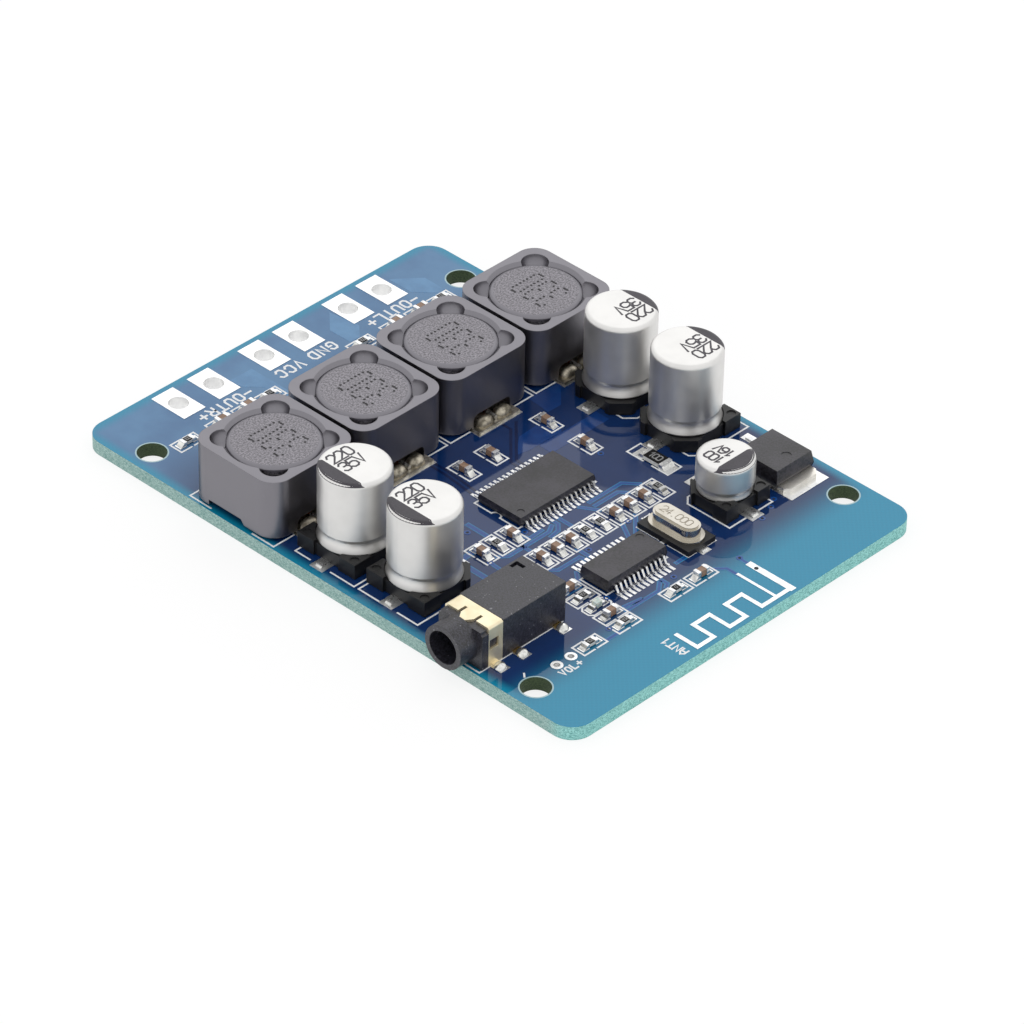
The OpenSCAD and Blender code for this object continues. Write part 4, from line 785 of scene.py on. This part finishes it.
draw(
    # Front capacitors
    [
        (-2.9, -23.93), (-5.0, -23.93), (-5.0, -16.5), (-4.0, -15.5),
        (2.4, -15.5), (3.4, -16.5), (3.4, -23.93), (0.1, -23.93),
    ],
    [
        (7.1, -23.87), (4.0, -23.87), (4.0, -16.6), (5.0, -15.6),
        (10.5, -15.6), (12.3, -17.4), (12.3, -23.87), (9.5, -23.87),
    ],
    # Back capacitors
    [(-2.75, 16.3), (-3.9, 16.3), (-4.9, 17.3), (-4.9, 24.5), (-3.0, 24.5)],
    [(0.85, 16.3), (2.4, 16.3), (3.45, 17.4), (3.45, 24.5), (0.2, 24.5)],
    [(6.5, 16.25), (5.2, 16.25), (4.1, 17.2), (4.1, 24.5), (6.4, 24.5)],
    [(10.65, 16.3), (11.7, 16.3), (12.55, 17.2), (12.55, 24.5), (9.4, 24.5)],
    # Small capacitor
    [(23.1, 13.0), (23.1, 10.1), (17.3, 10.1), (16.5, 11.0), (16.5, 12.4)],
    [(16.5, 14.5), (16.5, 15.7), (17.3, 16.57), (23.1, 16.57), (23.1, 14.5)],
    # Crystal
    [(19.4, 3.5), (16.4, 3.5), (16.4, 4.6)],
    [(20.7, 3.5), (23.5, 3.5), (23.5, 4.6)],
    [(16.4, 6.4), (16.4, 7.55), (23.5, 7.55), (23.5, 6.4)],
    # Large resistor
    [(7.9, 14.35), (6.75, 14.35), (6.75, 12.3), (9.0, 12.3)],
    [(11.4, 14.35), (12.5, 14.35), (12.5, 12.3), (10.3, 12.3)],
    # Jack
    [(21.95, -13.2), (21.95, -25.0), (19.9, -25.0)],
    [(15.95, -13.2), (15.95, -24.6)],
    # Short stroke by the front mounting hole
    [(25.1, -21.95), (25.5, -22.3)],
)

# Ends of the amplifier chip, each with a round notch, and of the receiver chip:
# places along X, and along Y with the side that the corners turn to
AMPLIFIER_X = (2.0, 8.15)
AMPLIFIER_ENDS = ((1, -5.3), (-1, 6.2))
AMPLIFIER_CORNER = 0.6
NOTCH_X = 5.0
NOTCH_HALF = (0.6, 0.55)
NOTCH_STEPS = 8
RECEIVER_X = (18.45, 22.05)
RECEIVER_ENDS = ((1, -6.97), (-1, 1.97))
left, right = AMPLIFIER_X
for side, y in AMPLIFIER_ENDS:
    notch = []
    for i in range(NOTCH_STEPS + 1):
        a = math.pi * i / NOTCH_STEPS
        notch.append(
            (NOTCH_X - NOTCH_HALF[0] * math.cos(a), y + side * NOTCH_HALF[1] * math.sin(a))
        )
    corner_y = y + side * AMPLIFIER_CORNER
    draw([(left, corner_y), (left, y), *notch, (right, y), (right, corner_y)])
left, right = RECEIVER_X
for side, y in RECEIVER_ENDS:
    draw([(left, y + side), (left, y), (right, y), (right, y + side)])

# Rows of small components: behind the wire pads in two channels, beside and between the chips,
# at the antenna's end and in front of the receiver chip
PAD_ROW_X = -26.1
CHANNEL_YS = (-12.58, 12.82)
CHIP_ROW_X = 8.6
LONG_ROW_X = 13.4
LONG_ROW_YS = [-7.3 + 2.14 * i for i in range(9)]
END_ROW_X = 26.45
FRONT_ROW_Y = -9.0
# Small components: place, and whether the long side runs along Y
ROWS = [
    *[(PAD_ROW_X, c + o, True) for c in CHANNEL_YS for o in (-6.3, -1.35, 2.35, 5.45)],
    *[(-2.6, y, False) for y in (-2.1, 1.85, 10.05)],
    (2.9, 10.15, False),
    *[(CHIP_ROW_X, -6.6 - 2.2 * i, False) for i in range(3)],
    *[(LONG_ROW_X, y, False) for y in LONG_ROW_YS],
    *[(END_ROW_X, y, True) for y in (2.2, -1.5, -14.0)],
    *[(18.85 + 1.9 * i, FRONT_ROW_Y, True) for i in (0, 1, 3, 4)],
]
# Half sizes of their brackets across and along, and half the opening
ROW_HALF = 0.87
ROW_HALF_LONG = 1.63
ROW_GAP = 0.22
for x, y, along_y in ROWS:
    half = (ROW_HALF, ROW_HALF_LONG) if along_y else (ROW_HALF_LONG, ROW_HALF)
    bracket(x, y, *half, ROW_GAP, along_y)

# Indicator: brackets with cut corners, half the opening, and where the corners begin
LED_X, LED_Y = 22.65, FRONT_ROW_Y
LED_GAP = 0.3
LED_CORNER_X = 0.45
LED_CORNER_Y = 1.2
for side in SIDES:
    gap_y, corner_y, end_y = (
        LED_Y + side * reach for reach in (LED_GAP, LED_CORNER_Y, ROW_HALF_LONG)
    )
    draw([
        (LED_X - ROW_HALF, gap_y), (LED_X - ROW_HALF, corner_y), (LED_X - LED_CORNER_X, end_y),
        (LED_X + LED_CORNER_X, end_y), (LED_X + ROW_HALF, corner_y), (LED_X + ROW_HALF, gap_y),
    ])

# Dot by the crystal
CRYSTAL_DOT = (20.0, 3.3)
CRYSTAL_DOT_R = 0.3
silk.disc(*CRYSTAL_DOT, CRYSTAL_DOT_R, SILK_Z, SILK_T)

# Words beside the wire pads: text, start along Y, and length
PAD_WORDS = [
    ("VCC", -0.44, 3.4),
    ("-OUTR+", -7.91, 7.09),
    ("GND", 4.35, 3.47),
    ("-OUTL+", 16.62, 7.03),
]
PAD_WORD_X = -28.8
PAD_WORD_H = 1.3
PAD_STROKE = 0.26
for words, start_y, run in PAD_WORDS:
    start = (PAD_WORD_X, start_y)
    silk.text(words, start, (0, -1), (1, 0), PAD_WORD_H, run, PAD_STROKE, SILK_Z)
# Other words: text, first corner, directions along and up, height and length
OTHER_WORDS = [
    ("VOL+", (28.1, -19.38), (0, 1), (-1, 0), 0.78, 2.8),
    ("ANT1", (34.0, -7.8), (-1, 0), (0, -1), 0.93, 3.0),
]
for word in OTHER_WORDS:
    silk.text(*word, SILK_W, SILK_Z)
silk.make("board_print", "silk")

# Ratings and the dark negative segment on each can's top
CAN_ROUND = 0.5
SEGMENT_GRID = (24, 8)
ROUND_SHARE = 0.92
ANGLE_SHARE = 0.999
CAN_R = 3.85
SMALL_CAN_R = 3.1
ink = Marks()


def segment(x, y, heading, chord, radius, top):
    """A dark patch from a chord of the can's top out over its rounded edge."""
    flat, edge = radius - CAN_ROUND, radius - CAN_ROUND * (1 - ROUND_SHARE)
    limit = math.acos(chord / edge)
    columns, rows = SEGMENT_GRID
    start = len(ink.points)
    for lift in (0.0, MARK_T):
        for i in range(columns + 1):
            angle = limit * (2 * i / columns - 1) * ANGLE_SHARE
            near = chord / math.cos(angle)
            for k in range(rows + 1):
                reach = near + (edge - near) * k / rows
                over = max(reach - flat, 0.0)
                drop = CAN_ROUND - math.sqrt(CAN_ROUND**2 - over**2)
                reach += lift * over / CAN_ROUND
                way_x, way_y = math.cos(heading + angle), math.sin(heading + angle)
                ink.points.append((x + reach * way_x, y + reach * way_y, top - drop + lift))
    layer = (columns + 1) * (rows + 1)

    def at(i, k, upper):
        return start + upper * layer + i * (rows + 1) + k

    for i in range(columns):
        for k in range(rows):
            corners = ((i, k), (i + 1, k), (i + 1, k + 1), (i, k + 1))
            for upper in (0, 1):
                ink.faces.append([at(*corner, upper) for corner in corners])
    rim = [(i, 0) for i in range(columns)] + [(columns, k) for k in range(rows)]
    rim += [(i, rows) for i in range(columns, 0, -1)] + [(0, k) for k in range(rows, 0, -1)]
    for a, b in zip(rim, rim[1:] + rim[:1]):
        ink.faces.append([at(*a, 0), at(*b, 0), at(*b, 1), at(*a, 1)])


# Each can: direction of the dark side, chord, first letter's place, letter height and run,
# middles of the two lines, their words, and the can's radius
LARGE_LETTERS = (1.65, 3.2)
LARGE_WORDS = ("220", "35V")
FRONT_CAN = ((0, -1), 1.93, 1.55, *LARGE_LETTERS, (2.07, 0.33), LARGE_WORDS, CAN_R)
BACK_CAN = ((0, 1), 2.5, 2.25, *LARGE_LETTERS, (1.8, 0.0), LARGE_WORDS, CAN_R)
CANS = {
    "capacitor_1_can": FRONT_CAN,
    "capacitor_2_can": FRONT_CAN,
    "capacitor_3_can": BACK_CAN,
    "capacitor_4_can": BACK_CAN,
    "small_capacitor_can": (
        (1, 0), 0.95, 0.5, 1.35, 2.3, (1.25, -0.3), ("100", "16V"), SMALL_CAN_R
    ),
}
LETTER_W = 0.22
for node, (dark, chord, start, height, run, lines, words, radius) in CANS.items():
    x, y, top = middle(node)
    up = (dark[1], -dark[0])
    advance = (-dark[0], -dark[1])
    segment(x, y, math.atan2(dark[1], dark[0]), chord, radius, top)
    drawn = height - LETTER_W
    for line, word in zip(lines, words):
        rise = line - drawn / 2
        at = [(x, y)[k] + dark[k] * start + up[k] * rise for k in (0, 1)]
        ink.text(word, at, advance, up, drawn, run - LETTER_W, LETTER_W, top)
ink.make("capacitor_print", "ink")

# Dotted value on each drum, read from the jack's side: place of each dot in its digit
DIGIT_HALF_X = 0.55
DIGIT_HALF_Y = 2.08
COLUMN = (1.6, 1.07, 0.53)
BAR = (-0.25, 0.0, 0.25)
HOOK_Y = 1.58
BAR_SHIFT = 0.08
WAIST = [(-0.12, 0), (0.12, 0)]
ZERO = [(side * DIGIT_HALF_X, y) for side in SIDES for y in (*COLUMN, 0, *(-v for v in COLUMN))]
ZERO += [(x, side * DIGIT_HALF_Y) for side in SIDES for x in BAR]
THREE = [(-DIGIT_HALF_X, side * y) for side in SIDES for y in COLUMN]
THREE += [(DIGIT_HALF_X, side * HOOK_Y) for side in SIDES]
THREE += [(x + BAR_SHIFT, side * DIGIT_HALF_Y) for side in SIDES for x in BAR]
THREE += WAIST
# Place of each digit along X, and of them all along Y
DIGITS = [(-1.55, ZERO), (0.22, THREE), (1.95, THREE)]
DIGIT_Y = 0.3
DOT_R = 0.14
DOT_STEPS = 10
DOT_SCATTER = 0.035
DOT_LAYERS = 20
DOT_SEED = 11
dots = Marks()
draws = random.Random(DOT_SEED)
for n in INDUCTORS:
    x, y, top = middle(f"inductor_{n}_drum")
    for digit_x, places in DIGITS:
        for dot_x, dot_y in places:
            off_x, off_y = (draws.uniform(-DOT_SCATTER, DOT_SCATTER) for axis in range(2))
            z = top + draws.uniform(0, DOT_LAYERS) * STROKE_STEP
            at_x, at_y = x + digit_x + dot_x + off_x, y + DIGIT_Y + dot_y + off_y
            dots.disc(at_x, at_y, DOT_R, z, MARK_T, DOT_STEPS)
dots.make("drum_print", "dot_ink")

# Bead of adhesive in the gap round each drum: reach from the axis and height from the drum's top
BEAD = [
    (4.5, 0.0), (4.62, -0.03), (4.76, -0.09), (4.88, -0.17), (4.97, -0.28), (4.97, -0.5),
    (4.5, -0.5),
]
BEAD_STEPS = 64
bead = Marks()
for n in INDUCTORS:
    x, y, top = middle(f"inductor_{n}_drum")
    bead.tube([(circle(x, y, reach, BEAD_STEPS), top + rise) for reach, rise in BEAD])
bead.make("drum_adhesive_beads", "shield")

# Tops of the small resistors' coats and of the large one's
COAT_TOP = 2.12
LARGE_COAT_TOP = 2.22
# Values on the small resistors: place, whether the long side runs along Y, and the figures
CODES = [
    (CHIP_ROW_X, -8.8, False, "103"),
    (LONG_ROW_X, LONG_ROW_YS[3], False, "101"),
    (LONG_ROW_X, LONG_ROW_YS[4], False, "102"),
    (LONG_ROW_X, LONG_ROW_YS[8], False, "103"),
    (20.75, FRONT_ROW_Y, True, "101"),
    (END_ROW_X, FRONT_ROW_Y, True, "102"),
    *[(PAD_ROW_X, c + o, True, "100") for c in CHANNEL_YS for o in (-6.3, 5.45)],
    (END_ROW_X, -1.5, True, "0"),
    (END_ROW_X, -14.0, True, "103"),
]
# Height, length and stroke of their figures
CODE_H = 0.38
CODE_RUN = 0.66
CODE_W = 0.065
# Large resistor and crystal: first corner, and height, length and stroke of the figures
LARGE_CODE_AT = (9.2, 12.8)
LARGE_CODE = (0.8, 1.5, 0.13)
CRYSTAL_CODE_FROM_MIDDLE = (-2.0, -0.48)
CRYSTAL_CODE = (0.95, 4.0, 0.1)
codes = Marks()
for x, y, along_y, word in CODES:
    advance, up = ((0, 1), (-1, 0)) if along_y else ((1, 0), (0, 1))
    run = CODE_RUN if len(word) > 1 else GLYPH_W * CODE_H
    at = [(x, y)[k] - advance[k] * run / 2 - up[k] * CODE_H / 2 for k in (0, 1)]
    codes.text(word, at, advance, up, CODE_H, run, CODE_W, COAT_TOP)
codes.text("100", LARGE_CODE_AT, (1, 0), (0, 1), *LARGE_CODE, LARGE_COAT_TOP)
codes.make("resistor_values", "code")
x, y, top = middle("crystal_can")
at = (x + CRYSTAL_CODE_FROM_MIDDLE[0], y + CRYSTAL_CODE_FROM_MIDDLE[1])
crystal_code = Marks()
crystal_code.text("24.000", at, (1, 0), (0, 1), *CRYSTAL_CODE, top)
crystal_code.make("crystal_value", "faint")

# Half the floor's side, and its drop below the board, in metres
FLOOR_HALF = 4.0
FLOOR_DROP = 0.00002
bpy.ops.mesh.primitive_plane_add(size=2 * FLOOR_HALF, location=(0, 0, -FLOOR_DROP))
floor = bpy.context.object
floor.name = "floor"


def seen_rays(tree):
    """1 for rays from the camera, a mirror or glass, and 0 for rays that only light things."""
    path = tree.nodes.new("ShaderNodeLightPath")
    total = path.outputs["Is Camera Ray"]
    for name in ("Is Glossy Ray", "Is Transmission Ray"):
        node = tree.nodes.new("ShaderNodeMath")
        node.operation = "MAXIMUM"
        tree.links.new(total, node.inputs[0])
        tree.links.new(path.outputs[name], node.inputs[1])
        total = node.outputs[0]
    return total


# Floor: glow that is seen, and grey for light that it passes on and for rays that see it
FLOOR_GLOW = 0.8
FLOOR_LIT = (0.8, 0.8, 0.8, 1)
FLOOR_SEEN = (0.23, 0.23, 0.23, 1)
paper = bpy.data.materials.new("floor_paper")
paper.use_nodes = True
tree = paper.node_tree
tree.nodes.clear()
output = tree.nodes.new("ShaderNodeOutputMaterial")
both = tree.nodes.new("ShaderNodeAddShader")
matt = tree.nodes.new("ShaderNodeBsdfDiffuse")
glow = tree.nodes.new("ShaderNodeEmission")
tone = tree.nodes.new("ShaderNodeMix")
tone.data_type = "RGBA"
seen = seen_rays(tree)
tree.links.new(seen, tone.inputs[0])
tone.inputs[6].default_value = FLOOR_LIT
tone.inputs[7].default_value = FLOOR_SEEN
tree.links.new(tone.outputs[2], matt.inputs["Color"])
strength = tree.nodes.new("ShaderNodeMath")
strength.operation = "MULTIPLY"
strength.inputs[1].default_value = FLOOR_GLOW
tree.links.new(seen, strength.inputs[0])
tree.links.new(strength.outputs[0], glow.inputs["Strength"])
tree.links.new(matt.outputs[0], both.inputs[0])
tree.links.new(glow.outputs[0], both.inputs[1])
tree.links.new(both.outputs[0], output.inputs["Surface"])
floor.data.materials.append(paper)

# Surroundings: even light, plain white where they are seen
AMBIENT = 0.87
world = bpy.data.worlds.new("studio")
bpy.context.scene.world = world
world.use_nodes = True
tree = world.node_tree
background = tree.nodes["Background"]
background.inputs["Color"].default_value = (1, 1, 1, 1)
level = tree.nodes.new("ShaderNodeMapRange")
tree.links.new(seen_rays(tree), level.inputs["Value"])
level.inputs["To Min"].default_value = AMBIENT
level.inputs["To Max"].default_value = 1.0
tree.links.new(level.outputs["Result"], background.inputs["Strength"])

# Softbox at the back: side and place in metres, and watts
SOFTBOX_SIDE = 1.2
SOFTBOX_AT = (-0.72, 0.76, 0.79)
SOFTBOX_POWER = 1.6
lamp = bpy.data.lights.new("softbox", "AREA")
lamp.shape = "SQUARE"
lamp.size = SOFTBOX_SIDE
lamp.energy = SOFTBOX_POWER
softbox = bpy.data.objects.new("softbox", lamp)
bpy.context.scene.collection.objects.link(softbox)
softbox.location = SOFTBOX_AT
softbox.rotation_euler = (-Vector(SOFTBOX_AT)).to_track_quat("-Z", "Y").to_euler()

lens = bpy.data.cameras.new("camera")
lens.lens = CAMERA_LENS
lens.sensor_width = CAMERA_SENSOR
lens.clip_start, lens.clip_end = CAMERA_CLIP
camera = bpy.data.objects.new("camera", lens)
bpy.context.scene.collection.objects.link(camera)
rows = [CAMERA_RIGHT, [-v for v in CAMERA_DOWN], [-v for v in CAMERA_FORWARD]]
camera.matrix_world = Matrix(
    [[rows[c][r] for c in range(3)] + [CAMERA_AT[r] * MM] for r in range(3)] + [[0, 0, 0, 1]]
)
bpy.context.scene.camera = camera
bpy.context.scene.view_settings.view_transform = "Standard"
